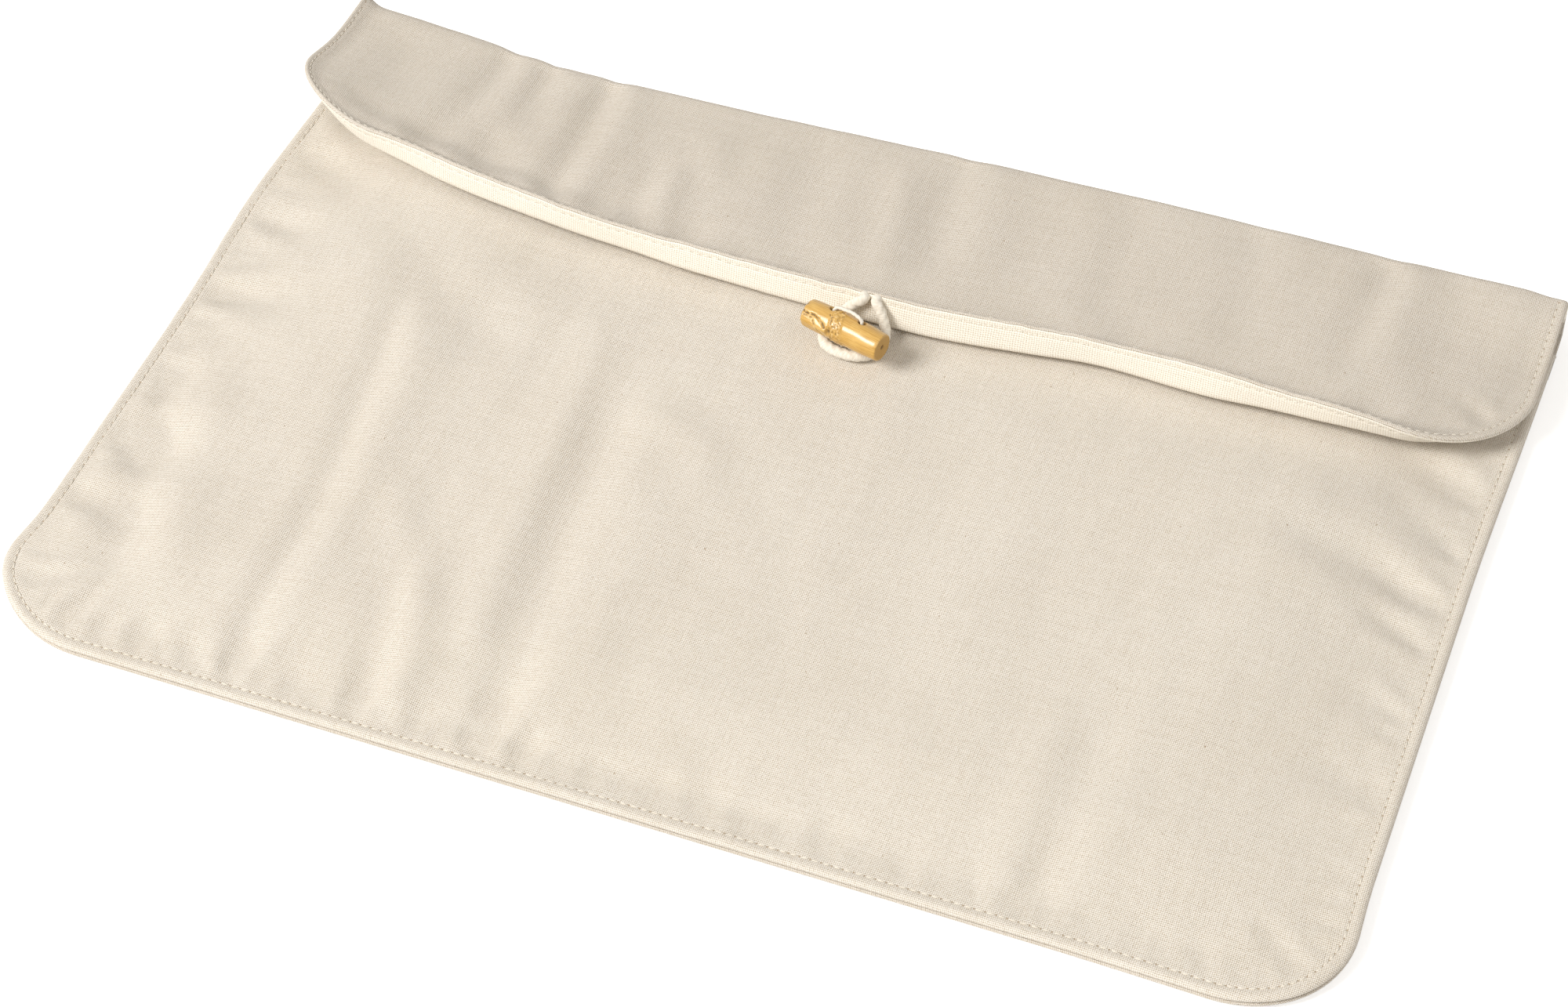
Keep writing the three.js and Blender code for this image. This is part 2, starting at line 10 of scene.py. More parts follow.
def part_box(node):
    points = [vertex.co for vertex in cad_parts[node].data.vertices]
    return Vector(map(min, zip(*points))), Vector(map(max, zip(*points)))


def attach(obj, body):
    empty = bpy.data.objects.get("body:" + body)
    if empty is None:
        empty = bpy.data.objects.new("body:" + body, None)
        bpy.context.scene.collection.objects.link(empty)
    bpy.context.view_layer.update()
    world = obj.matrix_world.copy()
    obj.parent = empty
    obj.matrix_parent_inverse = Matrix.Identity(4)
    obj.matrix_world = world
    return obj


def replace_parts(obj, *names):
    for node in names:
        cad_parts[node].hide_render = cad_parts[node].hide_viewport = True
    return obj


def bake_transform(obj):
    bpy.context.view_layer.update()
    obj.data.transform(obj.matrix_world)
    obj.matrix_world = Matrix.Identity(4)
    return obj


# Padded cotton laptop pouch: front, back, fold and flap in canvas over batting and lining,
# rows of stitches, a cord loop and a bamboo toggle. Lengths are in millimetres up to to_metres().
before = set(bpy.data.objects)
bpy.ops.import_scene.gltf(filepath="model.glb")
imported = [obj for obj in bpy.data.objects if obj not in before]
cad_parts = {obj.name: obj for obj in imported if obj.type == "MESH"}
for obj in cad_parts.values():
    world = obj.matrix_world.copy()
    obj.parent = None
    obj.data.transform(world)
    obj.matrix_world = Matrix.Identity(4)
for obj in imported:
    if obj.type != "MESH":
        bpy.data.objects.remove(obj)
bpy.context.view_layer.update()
scene = bpy.context.scene
scene.view_settings.view_transform = "Standard"
MM = 0.001

# Outline and heights of the pouch, as in the solids
HALF_WIDTH = 200.0
BOTTOM_EDGE = -136.5
CORNER_RADIUS = 34.0
CORNER_X, CORNER_Y = HALF_WIDTH - CORNER_RADIUS, BOTTOM_EDGE + CORNER_RADIUS
MOUTH_EDGE = 124.5
FOLD_LINE = 132.5
SPINE_MIDDLE = 9.5
FRONT_TOP = 14.0
FOLD_HEAD = 15.0
WALL_HALF = 2.0

# Thickness of the cloths
CANVAS_THICKNESS = 0.5
FLAP_CANVAS_THICKNESS = 0.4
LINING_THICKNESS = 0.3

# Stitches: their line's distance from the rim, their pitch, and their length and thickness
RIM_STITCH_INSET = 3.5
STITCH_PITCH = 3.1
RIM_STITCH = (2.35, 0.44)
FLAP_STITCH = (2.0, 0.34)
TACK_STITCH = (1.5, 0.34)

# Flap: its lip's front, how far in the lip reaches, its rounded corners, its stitch line at the ends
# and along the lip, and its turn over the fold
FLAP_FRONT = 57.0
LIP_REACH = 24.0
FLAP_CORNER = 34.0
SIDE_STITCH, LIP_STITCH = 3.0, 1.9
FOLD_TURN = WALL_HALF * pi / 2
SPINE_HEAD = FOLD_HEAD - SPINE_MIDDLE

# Toggle, and the loop of cord round its thread: thickness, reach from the lip to the toggle's middle,
# and heights where it lies and where it leaves the lip
TOGGLE_CENTRE = Vector((2.0, 44.2, 23.2))
TOGGLE_YAW = radians(-15)
TOGGLE_ROLL = radians(-22)
LOOP_DIAMETER = 3.4
LOOP_REACH = 15.5
LOOP_LYING = 15.7
LOOP_EXIT = 23.8

# Camera, fitted to the pouch's outline in an image 2000 pixels wide
IMAGE_WIDTH = 2000
FOCAL_PIXELS = 4870.12
SENSOR_WIDTH = 36.0
CAMERA_AZIMUTH, CAMERA_ELEVATION = radians(20.263), radians(46.934)
CAMERA_DISTANCE = 1123.235
CAMERA_TARGET = Vector((2.125, -8.633, 0.0))


def to_metres(point):
    return Vector(point) * MM


def clamp(share):
    return min(max(share, 0.0), 1.0)


def ease(share):
    share = clamp(share)
    return share * share * (3 - 2 * share)


def lerp(a, b, share):
    return a + (b - a) * share


def along_width(stations, x):
    """Smooth curve through stations across the width."""
    index = min(max(bisect_right(stations, (x, 1e9)) - 1, 0), len(stations) - 2)
    (x0, low), (x1, high) = stations[index], stations[index + 1]
    before, after = stations[max(index - 1, 0)], stations[min(index + 2, len(stations) - 1)]
    run = x1 - x0
    t = clamp((x - x0) / run)
    start = (high - before[1]) / (x1 - before[0]) * run
    end = (after[1] - low) / (after[0] - x0) * run
    rise = high - low
    return low + start * t + (3 * rise - 2 * start - end) * t * t + (start + end - 2 * rise) * t ** 3


def ripple(x, y, across, along, seed):
    """Soft noise, stretched along the two directions of the cloth."""
    return noise.noise(Vector((x / across, y / along, seed)))


def add_camera():
    level = cos(CAMERA_ELEVATION)
    back = Vector((sin(CAMERA_AZIMUTH) * level, -cos(CAMERA_AZIMUTH) * level, sin(CAMERA_ELEVATION)))
    right = Vector((cos(CAMERA_AZIMUTH), sin(CAMERA_AZIMUTH), 0))
    up = back.cross(right)
    data = bpy.data.cameras.new("photo_camera")
    data.sensor_fit = "HORIZONTAL"
    data.sensor_width = SENSOR_WIDTH
    data.lens = SENSOR_WIDTH * FOCAL_PIXELS / IMAGE_WIDTH
    data.clip_start = 0.05
    camera = bpy.data.objects.new("photo_camera", data)
    turn = Matrix((right, up, back)).transposed().to_4x4()
    place = Matrix.Translation(to_metres(CAMERA_TARGET + back * CAMERA_DISTANCE))
    camera.matrix_world = place @ turn
    scene.collection.objects.link(camera)
    scene.camera = camera


add_camera()


# Finishes
def new_group(name, inputs, outputs):
    group = bpy.data.node_groups.new(name, "ShaderNodeTree")
    for label, kind, value in inputs:
        socket = group.interface.new_socket(name=label, in_out="INPUT", socket_type=kind)
        if value is not None:
            socket.default_value = value
    for label, kind in outputs:
        group.interface.new_socket(name=label, in_out="OUTPUT", socket_type=kind)
    return group, group.nodes.new("NodeGroupInput"), group.nodes.new("NodeGroupOutput")


class Nodes:
    """Short forms for the nodes of one tree."""

    def __init__(self, tree):
        self.tree = tree

    def add(self, kind, **settings):
        node = self.tree.nodes.new(kind)
        for key, value in settings.items():
            setattr(node, key, value)
        return node

    def feed(self, socket, value):
        if isinstance(value, bpy.types.NodeSocket):
            self.tree.links.new(value, socket)
        else:
            socket.default_value = value

    def math(self, operation, a, b=0.0, c=0.0, clamp=False):
        node = self.add("ShaderNodeMath", operation=operation, use_clamp=clamp)
        for socket, value in zip(node.inputs, (a, b, c)):
            self.feed(socket, value)
        return node.outputs[0]

    def vector(self, operation, a, b=None, scale=None):
        node = self.add("ShaderNodeVectorMath", operation=operation)
        self.feed(node.inputs[0], a)
        if b is not None:
            self.feed(node.inputs[1], b)
        if scale is not None:
            self.feed(node.inputs["Scale"], scale)
        return node.outputs[0]

    def split(self, vector):
        node = self.add("ShaderNodeSeparateXYZ")
        self.feed(node.inputs[0], vector)
        return node.outputs

    def join(self, x, y, z=0.0):
        node = self.add("ShaderNodeCombineXYZ")
        for socket, value in zip(node.inputs, (x, y, z)):
            self.feed(socket, value)
        return node.outputs[0]

    def noise(self, vector, scale, detail=2.0, roughness=0.5):
        node = self.add("ShaderNodeTexNoise")
        self.feed(node.inputs["Vector"], vector)
        self.feed(node.inputs["Scale"], scale)
        self.feed(node.inputs["Detail"], detail)
        self.feed(node.inputs["Roughness"], roughness)
        return node.outputs["Fac"]

    def between(self, value, low, high, to_low=0.0, to_high=1.0):
        node = self.add("ShaderNodeMapRange", interpolation_type="SMOOTHSTEP")
        for socket, number in zip(node.inputs, (value, low, high, to_low, to_high)):
            self.feed(socket, number)
        return node.outputs[0]

    def colour(self, share, a, b):
        node = self.add("ShaderNodeMix", data_type="RGBA")
        self.feed(node.inputs["Factor"], share)
        self.feed(node.inputs["A"], a)
        self.feed(node.inputs["B"], b)
        return node.outputs["Result"]

    def bump(self, height, distance, strength):
        node = self.add("ShaderNodeBump")
        self.feed(node.inputs["Height"], height)
        self.feed(node.inputs["Distance"], distance)
        self.feed(node.inputs["Strength"], strength)
        return node.outputs["Normal"]

    def mapped(self, name):
        """Values of one of the piece's own maps."""
        return self.add("ShaderNodeUVMap", uv_map=name).outputs[0]

    def object_place(self):
        return self.add("ShaderNodeTexCoord").outputs["Object"]

    def place(self, group, **values):
        node = self.add("ShaderNodeGroup", node_tree=group)
        for key, value in values.items():
            self.feed(node.inputs[key], value)
        return node.outputs


def plain_weave_group():
    """Plain weave on a cloth map in metres: thread height, thread shade (the threads' own slubs, with painted
    light on their crowns), gaps where the cloths paint shade, and coloured flecks.
    """
    group, inside, outside = new_group(
        "plain_weave",
        [
            ("Cloth", "NodeSocketVector", None),
            ("Threads", "NodeSocketVector", None),
            ("Wander", "NodeSocketFloat", 0.5),
            ("Open", "NodeSocketFloat", 0.4),
            ("Uneven", "NodeSocketFloat", 0.5),
        ],
        [(label, "NodeSocketFloat") for label in ("Height", "Shade", "Gap", "Fleck")],
    )
    n = Nodes(group)
    cloth = inside.outputs["Cloth"]
    threads = n.vector("MULTIPLY", cloth, inside.outputs["Threads"])
    sway = n.add("ShaderNodeTexNoise", noise_dimensions="3D")
    n.feed(sway.inputs["Vector"], threads)
    n.feed(sway.inputs["Scale"], 0.16)
    n.feed(sway.inputs["Detail"], 2.0)
    drift = n.vector("SUBTRACT", sway.outputs["Color"], (0.5, 0.5, 0.5))
    u, v, _ = n.split(n.vector("ADD", threads, n.vector("SCALE", drift, scale=inside.outputs["Wander"])))
    warp = n.math("SINE", n.math("MULTIPLY", n.math("FRACT", u), pi))
    weft = n.math("SINE", n.math("MULTIPLY", n.math("FRACT", v), pi))
    over = n.math("PINGPONG", n.math("ADD", n.math("FLOOR", u), n.math("FLOOR", v)), 1.0)
    under = n.math("SUBTRACT", 1.0, over)
    warp_top = n.math("MULTIPLY", warp, n.math("MULTIPLY_ADD", weft, 0.5, 0.5))
    weft_top = n.math("MULTIPLY", weft, n.math("MULTIPLY_ADD", warp, 0.5, 0.5))
    height = n.math("ADD", n.math("MULTIPLY", warp_top, over), n.math("MULTIPLY", weft_top, under))
    warp_slub = n.noise(n.join(n.math("MULTIPLY", u, 0.9), n.math("MULTIPLY", v, 0.03)), 1.0, 1.0)
    weft_slub = n.noise(n.join(n.math("MULTIPLY", u, 0.03), n.math("MULTIPLY", v, 0.9), 7.0), 1.0, 1.0)
    slub = n.math("ADD", n.math("MULTIPLY", warp_slub, over), n.math("MULTIPLY", weft_slub, under))
    slub = n.between(slub, 0.25, 0.75)
    opening, uneven = inside.outputs["Open"], inside.outputs["Uneven"]
    narrow, wide = n.math("MULTIPLY", opening, 0.6), n.math("MULTIPLY", opening, 1.3)
    # Gap marks the corners between the threads, where the cloths paint shade.
    gap = n.between(n.math("MAXIMUM", warp, weft), narrow, wide, 1.0, 0.0)
    crossing = n.add("ShaderNodeTexWhiteNoise", noise_dimensions="2D")
    n.feed(crossing.inputs["Vector"], n.join(n.math("ROUND", u), n.math("ROUND", v)))
    chance = n.math("POWER", crossing.outputs["Value"], 2.0)
    gap = n.math("MULTIPLY", gap, n.math("MULTIPLY_ADD", chance, uneven, n.math("SUBTRACT", 1.0, uneven)))
    cells = n.add("ShaderNodeTexVoronoi")
    n.feed(cells.inputs["Vector"], n.vector("MULTIPLY", cloth, (420.0, 260.0, 1.0)))
    n.feed(cells.inputs["Scale"], 1.0)
    rare, depth, _ = n.split(cells.outputs["Color"])
    spot = n.between(cells.outputs["Distance"], 0.04, 0.13, 1.0, 0.0)
    fleck = n.math("MULTIPLY", n.math("MULTIPLY", spot, depth), n.math("GREATER_THAN", rare, 0.9))
    n.feed(outside.inputs["Height"], n.math("MULTIPLY_ADD", slub, 0.4, height))
    # Shade is the slubs' own tone plus painted light: thread crowns lighter, their sides darker.
    n.feed(outside.inputs["Shade"], n.math("MULTIPLY_ADD", slub, 0.28, n.math("MULTIPLY", height, 0.72)))
    n.feed(outside.inputs["Gap"], gap)
    n.feed(outside.inputs["Fleck"], fleck)
    return group


PLAIN_WEAVE = plain_weave_group()


def new_finish(name):
    material = bpy.data.materials.new(name)
    material.use_nodes = True
    tree = material.node_tree
    tree.nodes.clear()
    n = Nodes(tree)
    shader = n.add("ShaderNodeBsdfPrincipled")
    out = n.add("ShaderNodeOutputMaterial")
    tree.links.new(shader.outputs[0], out.inputs[0])
    return material, n, shader


def cloth_finish(name, pale, deep, gap, threads, opening, uneven, weave_depth, holes):
    """Cotton cloth, with painted shade for the needle holes between the stitches along the line of the seam
    map.
    """
    material, n, shader = new_finish(name)
    cloth = n.mapped("cloth")
    weave = n.place(PLAIN_WEAVE, Cloth=cloth, Threads=threads, Wander=0.9, Open=opening, Uneven=uneven)
    tone = n.noise(cloth, 22.0, 3.0)
    # Colour runs from deep to pale with the cloth's own tone and the weave's shade, which holds painted light
    # on the thread crowns.
    shade = n.math("MULTIPLY_ADD", tone, 0.3, n.math("MULTIPLY", weave["Shade"], 0.85))
    colour = n.colour(n.between(shade, 0.15, 0.95), deep, pale)
    # Painted shade: the gaps between the threads take the dark gap colour.
    colour = n.colour(n.math("MULTIPLY", weave["Gap"], 0.75), colour, gap)
    colour = n.colour(n.math("MULTIPLY", weave["Fleck"], 0.8), colour, (0.30, 0.18, 0.08, 1))
    along, across, _ = n.split(n.mapped("seam"))
    phase = n.math("ABSOLUTE", n.math("SUBTRACT", n.math("FRACT", along), 0.5))
    beside = n.math("MULTIPLY", n.math("SUBTRACT", 0.5, phase), STITCH_PITCH)
    reach = n.math("SQRT", n.math("ADD", n.math("POWER", beside, 2.0), n.math("POWER", across, 2.0)))
    # Painted shade: dark spots in the needle holes at the ends of the stitches.
    colour = n.colour(n.between(reach, 0.12, 0.44, holes, 0.0), colour, (0.36, 0.25, 0.14, 1.0))
    n.feed(shader.inputs["Base Color"], colour)
    n.feed(shader.inputs["Normal"], n.bump(weave["Height"], weave_depth, 0.8))
    shader.inputs["Roughness"].default_value = 0.94
    shader.inputs["Specular IOR Level"].default_value = 0.18
    shader.inputs["Sheen Weight"].default_value = 0.1
    shader.inputs["Sheen Roughness"].default_value = 0.5
    return material


def thread_finish():
    material, n, shader = new_finish("white_thread")
    fibre = n.noise(n.object_place(), 2600.0, 2.0)
    n.feed(shader.inputs["Base Color"], n.colour(fibre, (0.68, 0.62, 0.52, 1), (0.86, 0.82, 0.74, 1)))
    n.feed(shader.inputs["Normal"], n.bump(fibre, 0.0001, 0.4))
    shader.inputs["Roughness"].default_value = 0.7
    return material


def batting_finish():
    material, n, shader = new_finish("white_batting")
    fluff = n.noise(n.object_place(), 420.0, 4.0, 0.65)
    n.feed(shader.inputs["Base Color"], n.colour(fluff, (0.78, 0.77, 0.74, 1), (0.92, 0.91, 0.89, 1)))
    n.feed(shader.inputs["Normal"], n.bump(fluff, 0.0008, 0.6))
    shader.inputs["Roughness"].default_value = 1.0
    return material


def cord_finish():
    """Soft cotton cord: fine fibres that follow the twist on the cord's own map."""
    material, n, shader = new_finish("cotton_cord")
    along, around, _ = n.split(n.mapped("cord"))
    twisted = n.math("MULTIPLY_ADD", along, 260.0, around)
    fibre = n.noise(n.join(n.math("MULTIPLY", twisted, 9.0), n.math("MULTIPLY", along, 900.0)), 1.0, 3.0, 0.6)
    colour = n.colour(n.between(fibre, 0.3, 0.7), (0.74, 0.68, 0.575, 1), (0.90, 0.855, 0.765, 1))
    n.feed(shader.inputs["Base Color"], colour)
    n.feed(shader.inputs["Normal"], n.bump(fibre, 0.0003, 0.6))
    shader.inputs["Roughness"].default_value = 0.9
    shader.inputs["Sheen Weight"].default_value = 0.2
    return material


def bamboo_finish():
    """Varnished bamboo: grain on the toggle's own map, and marks for dark places (with painted shade in the
    thread holes), pale places and bare cut places.
    """
    material, n, shader = new_finish("varnished_bamboo")
    along, around, _ = n.split(n.mapped("grain"))
    dark, pale, cut = n.split(n.add("ShaderNodeAttribute", attribute_name="marks").outputs["Vector"])
    streak = n.noise(n.join(n.math("MULTIPLY", along, 1.6), n.math("MULTIPLY", around, 26.0)), 2.0, 4.0, 0.6)
    blotch = n.noise(n.join(n.math("MULTIPLY", along, 2.2), n.math("MULTIPLY", around, 3.0), 3.0), 2.4, 3.0)
    speck = n.noise(n.join(n.math("MULTIPLY", along, 20.0), n.math("MULTIPLY", around, 30.0), 9.0), 2.0, 2.0)
    colour = n.colour(n.between(streak, 0.3, 0.72), (0.52, 0.285, 0.055, 1), (0.68, 0.42, 0.11, 1))
    colour = n.colour(n.between(blotch, 0.5, 0.75, 0.0, 0.5), colour, (0.74, 0.50, 0.17, 1))
    colour = n.colour(n.between(speck, 0.68, 0.76, 0.0, 0.5), colour, (0.25, 0.12, 0.03, 1))
    grit = n.noise(n.join(n.math("MULTIPLY", along, 60.0), n.math("MULTIPLY", around, 60.0)), 1.0, 3.0, 0.7)
    colour = n.colour(cut, colour, n.colour(grit, (0.33, 0.175, 0.035, 1), (0.62, 0.38, 0.11, 1)))
    colour = n.colour(n.math("MULTIPLY", pale, 0.8), colour, (0.86, 0.68, 0.38, 1))
    # Dark marks: the node's dark fibres, the cracks, pit and notch, the darkened pith, and painted shade in
    # the thread holes.
    colour = n.colour(dark, colour, (0.065, 0.032, 0.012, 1))
    n.feed(shader.inputs["Base Color"], colour)
    marked_roughness = n.math("MULTIPLY", n.math("ADD", dark, pale), 0.6)
    rough = n.math("MAXIMUM", n.math("MULTIPLY", cut, 0.55), marked_roughness)
    varnish = n.between(streak, 0.2, 0.8, 0.22, 0.36)
    n.feed(shader.inputs["Roughness"], n.math("ADD", rough, varnish, clamp=True))
    n.feed(shader.inputs["Normal"], n.bump(streak, 0.0001, 0.35))
    shader.inputs["Coat Weight"].default_value = 0.3
    shader.inputs["Coat Roughness"].default_value = 0.18
    return material


# Weaves: threads in a metre, how open and uneven the gaps are, the weave's depth, and the strength of the
# painted shade in the needle holes
CANVAS_WEAVE = dict(
    threads=(1850.0, 1650.0, 1.0), opening=0.82, uneven=0.6, weave_depth=0.00018, holes=0.75)
LINING_WEAVE = dict(
    threads=(1310.0, 1310.0, 1.0), opening=0.56, uneven=0.35, weave_depth=0.00012, holes=0.35)
CANVAS = cloth_finish(
    "cream_canvas", pale=(0.885, 0.84, 0.775, 1), deep=(0.71, 0.645, 0.55, 1),
    gap=(0.44, 0.33, 0.2, 1), **CANVAS_WEAVE)
# The flap and back canvas is the cream canvas made darker and greyer: painted shade for the flap, which gets
# less light than the front.
FLAP_CANVAS = cloth_finish(
    "cream_canvas_painted_shade", pale=(0.81, 0.76, 0.695, 1), deep=(0.64, 0.58, 0.49, 1),
    gap=(0.41, 0.3, 0.18, 1), **CANVAS_WEAVE)
LINING = cloth_finish(
    "open_weave_lining", pale=(0.93, 0.885, 0.80, 1), deep=(0.86, 0.80, 0.69, 1),
    gap=(0.46, 0.34, 0.18, 1), **LINING_WEAVE)
THREAD, BATTING, CORD, BAMBOO = thread_finish(), batting_finish(), cord_finish(), bamboo_finish()


# Shared modelling steps
FOLD_BOW = [
    (-200, 4.0), (-165, 1.0), (-125, -3.4), (-70, -3.2), (0, -0.6), (60, 0.8), (130, 1.4), (200, 2.0),
]


def settle(point):
    """The slight skew, flare and bow that the soft pouch has as it lies."""
    x, y, z = point
    right = ease(x / HALF_WIDTH) * ease((y - 20) / 110)
    left = ease(-x / HALF_WIDTH)
    side = 1.0 - 2.2 * exp(-((y - 55) / 36) ** 2) - 2.6 * exp(-((y + 114) / 15) ** 2)
    flare = 2.0 * right + left * side
    skew = 0.008 * (x + 30) * ease((30 - y) / 160)
    corner = ease((x - 120) / 70) * ease((-85 - y) / 50)
    bow = along_width(FOLD_BOW, x) * ease((y - 50) / 85)
    return Vector((x + flare + 2.4 * corner, y - skew - 1.0 * corner + bow, z))


def finish_piece(name, mesh_data, material, body):
    """Makes a bmesh a piece that rides on a body, or stays unattached when it has none."""
    mesh = bpy.data.meshes.new(name)
    mesh_data.to_mesh(mesh)
    mesh_data.free()
    mesh.materials.append(material)
    mesh.shade_smooth()
    piece = bpy.data.objects.new(name, mesh)
    scene.collection.objects.link(piece)
    if body is not None:
        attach(piece, body)
    return piece


def grid_sheet(columns, rows, place):
    """Grid over the flat cloth, set in place point by point.

    place gives the point, the place on the cloth map and the seam map's values, which are
    stitches along the edge and the distance from the stitch line.
    """
    mesh = bmesh.new()
    bmesh.ops.create_grid(mesh, x_segments=len(columns) - 1, y_segments=len(rows) - 1, size=0.5)
    cloth = mesh.loops.layers.uv.new("cloth")
    seam = mesh.loops.layers.uv.new("seam")
    maps = {}
    for vertex in mesh.verts:
        column = round((vertex.co.x + 0.5) * (len(columns) - 1))
        row = round((vertex.co.y + 0.5) * (len(rows) - 1))
        point, flat, stitched = place(columns[column], rows[row])
        maps[vertex] = Vector(flat) * MM, stitched
        vertex.co = to_metres(settle(point))
    for face in mesh.faces:
        for loop in face.loops:
            loop[cloth].uv, loop[seam].uv = maps[loop.vert]
    return mesh


def thicken(piece, thickness, offset=-1.0):
    """Gives a sheet its thickness, under its faces, or over them with an offset of 1."""
    wall = piece.modifiers.new("cloth_thickness", "SOLIDIFY")
    wall.thickness = thickness * MM
    wall.offset = offset
    return piece


def spaced(low, high, step):
    """Even places from low to high, a step apart at most."""
    count = max(1, ceil((high - low) / step))
    return [low + (high - low) * index / count for index in range(count + 1)]


class EdgeProfile:
    """Section of a cloth at its sewn edge, as distances from the outline and heights."""

    def __init__(self, points):
        self.points = points
        self.lengths = [0.0]
        for (d0, z0), (d1, z1) in zip(points, points[1:]):
            self.lengths.append(self.lengths[-1] + hypot(d1 - d0, z1 - z0))
        self.end = self.lengths[-1]
        self.excess = self.end - points[-1][0]

    def at(self, length):
        """Distance and height at a length from the cloth's edge; past the section there is no height."""
        if length >= self.end:
            return self.points[-1][0] + length - self.end, None
        index = max(bisect_right(self.lengths, length) - 1, 0)
        (d0, z0), (d1, z1) = self.points[index], self.points[index + 1]
        share = (length - self.lengths[index]) / (self.lengths[index + 1] - self.lengths[index])
        return lerp(d0, d1, share), lerp(z0, z1, share)


SIDE_LENGTH = MOUTH_EDGE - BOTTOM_EDGE - CORNER_RADIUS
ARC_LENGTH = CORNER_RADIUS * pi / 2
BASE_LENGTH = 2 * CORNER_X
RIM_LENGTH = 2 * SIDE_LENGTH + 2 * ARC_LENGTH + BASE_LENGTH


def rim_point(along, inset):
    """Point on the sewn rim, from the left end of the mouth round to the right."""
    if along <= SIDE_LENGTH:
        return Vector((-HALF_WIDTH + inset, MOUTH_EDGE - along, 0))
    along -= SIDE_LENGTH
    for side in (-1, 1):
        if along <= ARC_LENGTH:
            turn = along / CORNER_RADIUS
            out = Vector((-cos(turn), -sin(turn), 0)) if side < 0 else Vector((sin(turn), -cos(turn), 0))
            return Vector((side * CORNER_X, CORNER_Y, 0)) + out * (CORNER_RADIUS - inset)
        along -= ARC_LENGTH
        if side < 0:
            if along <= BASE_LENGTH:
                return Vector((along - CORNER_X, BOTTOM_EDGE + inset, 0))
            along -= BASE_LENGTH
    return Vector((HALF_WIDTH - inset, CORNER_Y + along, 0))


def rim_seam(along, inset):
    """Seam map of the rim: stitches along it and the distance from their line."""
    return along / STITCH_PITCH, inset - RIM_STITCH_INSET


def round_corner(out_side, out_end):
    """Reach and turn on a rounded corner for a place on the flat cloth's square one."""
    if out_side >= out_end:
        return out_side, pi / 4 * out_end / out_side
    return out_end, pi / 2 - pi / 4 * out_side / out_end


def rim_place(x, y, profile):
    """Flat cloth to the rounded outline.

    Gives the plan point, its distance from the outline, the rim's height, the place along the rim
    and the place on the cloth map.
    """
    side = 1 if x >= 0 else -1
    from_side = HALF_WIDTH + profile.excess - abs(x)
    from_base = y - BOTTOM_EDGE + profile.excess
    corner = CORNER_RADIUS + profile.excess
    flat = (x, y)
    if from_side < corner and from_base < corner:
        reach, turn = round_corner(corner - from_side, corner - from_base)
        inset, height = profile.at(corner - reach)
        radius = CORNER_RADIUS - inset
        plan_x, plan_y = side * (CORNER_X + radius * cos(turn)), CORNER_Y - radius * sin(turn)
        flat = side * (CORNER_X + reach * cos(turn)), CORNER_Y - reach * sin(turn)
        along = SIDE_LENGTH + CORNER_RADIUS * turn
    else:
        inset_x, height_x = profile.at(from_side)
        inset_y, height_y = profile.at(from_base)
        plan_x, plan_y = side * (HALF_WIDTH - inset_x), BOTTOM_EDGE + inset_y
        if inset_x < inset_y:
            inset, height = inset_x, height_x
            along = MOUTH_EDGE - plan_y
        else:
            inset, height = inset_y, height_y
            along = SIDE_LENGTH + ARC_LENGTH + CORNER_X - abs(plan_x)
    if side > 0:
        along = RIM_LENGTH - along
    return plan_x, plan_y, inset, height, along, flat


def rim_spacing(profile, step, high):
    """Flat columns and rows that hold the rim's section and an even step inside it."""
    edge = profile.lengths
    left = [-HALF_WIDTH - profile.excess + length for length in edge]
    base = [BOTTOM_EDGE - profile.excess + length for length in edge]
    middle = spaced(left[-1], -left[-1], step)
    columns = left + middle[1:-1] + [-x for x in reversed(left)]
    rows = base + spaced(base[-1], high, step)[1:]
    return columns, rows


# Across the width: how far the flap's front lies behind its line, how full its lip stands and how far
# the front wall dips under it
FRONT_BOW = [
    (-200, 17.0), (-178, 16.8), (-155, 14.6), (-140, 11.9), (-125, 9.1), (-108, 6.4), (-92, 4.2),
    (-75, 2.8), (-59, 1.6), (-43, 0.9), (-20, 0.2), (22, -0.1), (37, 1.2), (52, 2.9), (75, 4.6),
    (109, 4.2), (147, 3.7), (170, 4.3), (200, 6.0),
]
LIP_FULLNESS = [
    (-200, 0.35), (-180, 0.52), (-155, 0.76), (-140, 0.83), (-75, 0.81), (-55, 0.9), (22, 1.0),
    (52, 0.97), (75, 0.86), (109, 0.96), (128, 0.79), (147, 0.7), (166, 0.52), (180, 0.35), (200, 0.1),
]
LIP_DIP = [
    (-200, 0.6), (-165, 1.6), (-120, 2.0), (-70, 1.5), (-20, 0.6), (40, 0.7), (100, 1.7), (150, 2.2),
    (185, 1.2), (200, 0.6),
]


# Shape of the front wall
def crease_height(creases, x, y):
    """Long soft folds.

    Each runs from one plan point to another, with a width, a height and the length in which it starts.
    """
    total = 0.0
    for x0, y0, x1, y1, width, height, faded in creases:
        run = hypot(x1 - x0, y1 - y0)
        along = ((x - x0) * (x1 - x0) + (y - y0) * (y1 - y0)) / run
        off = ((x - x0) * (y1 - y0) - (y - y0) * (x1 - x0)) / run
        off += 2.5 * noise.noise(Vector((along / 40, x0, y0)))
        if abs(off) > 4 * width or along < -20 or along > run + 20:
            continue
        fade = ease(along / faded + 0.3) * ease((run - along) / 16 + 0.5)
        shape = exp(-(off / width) ** 2) - 0.4 * exp(-((abs(off) - 2.2 * width) / (1.1 * width)) ** 2)
        total += height * fade * shape
    return total


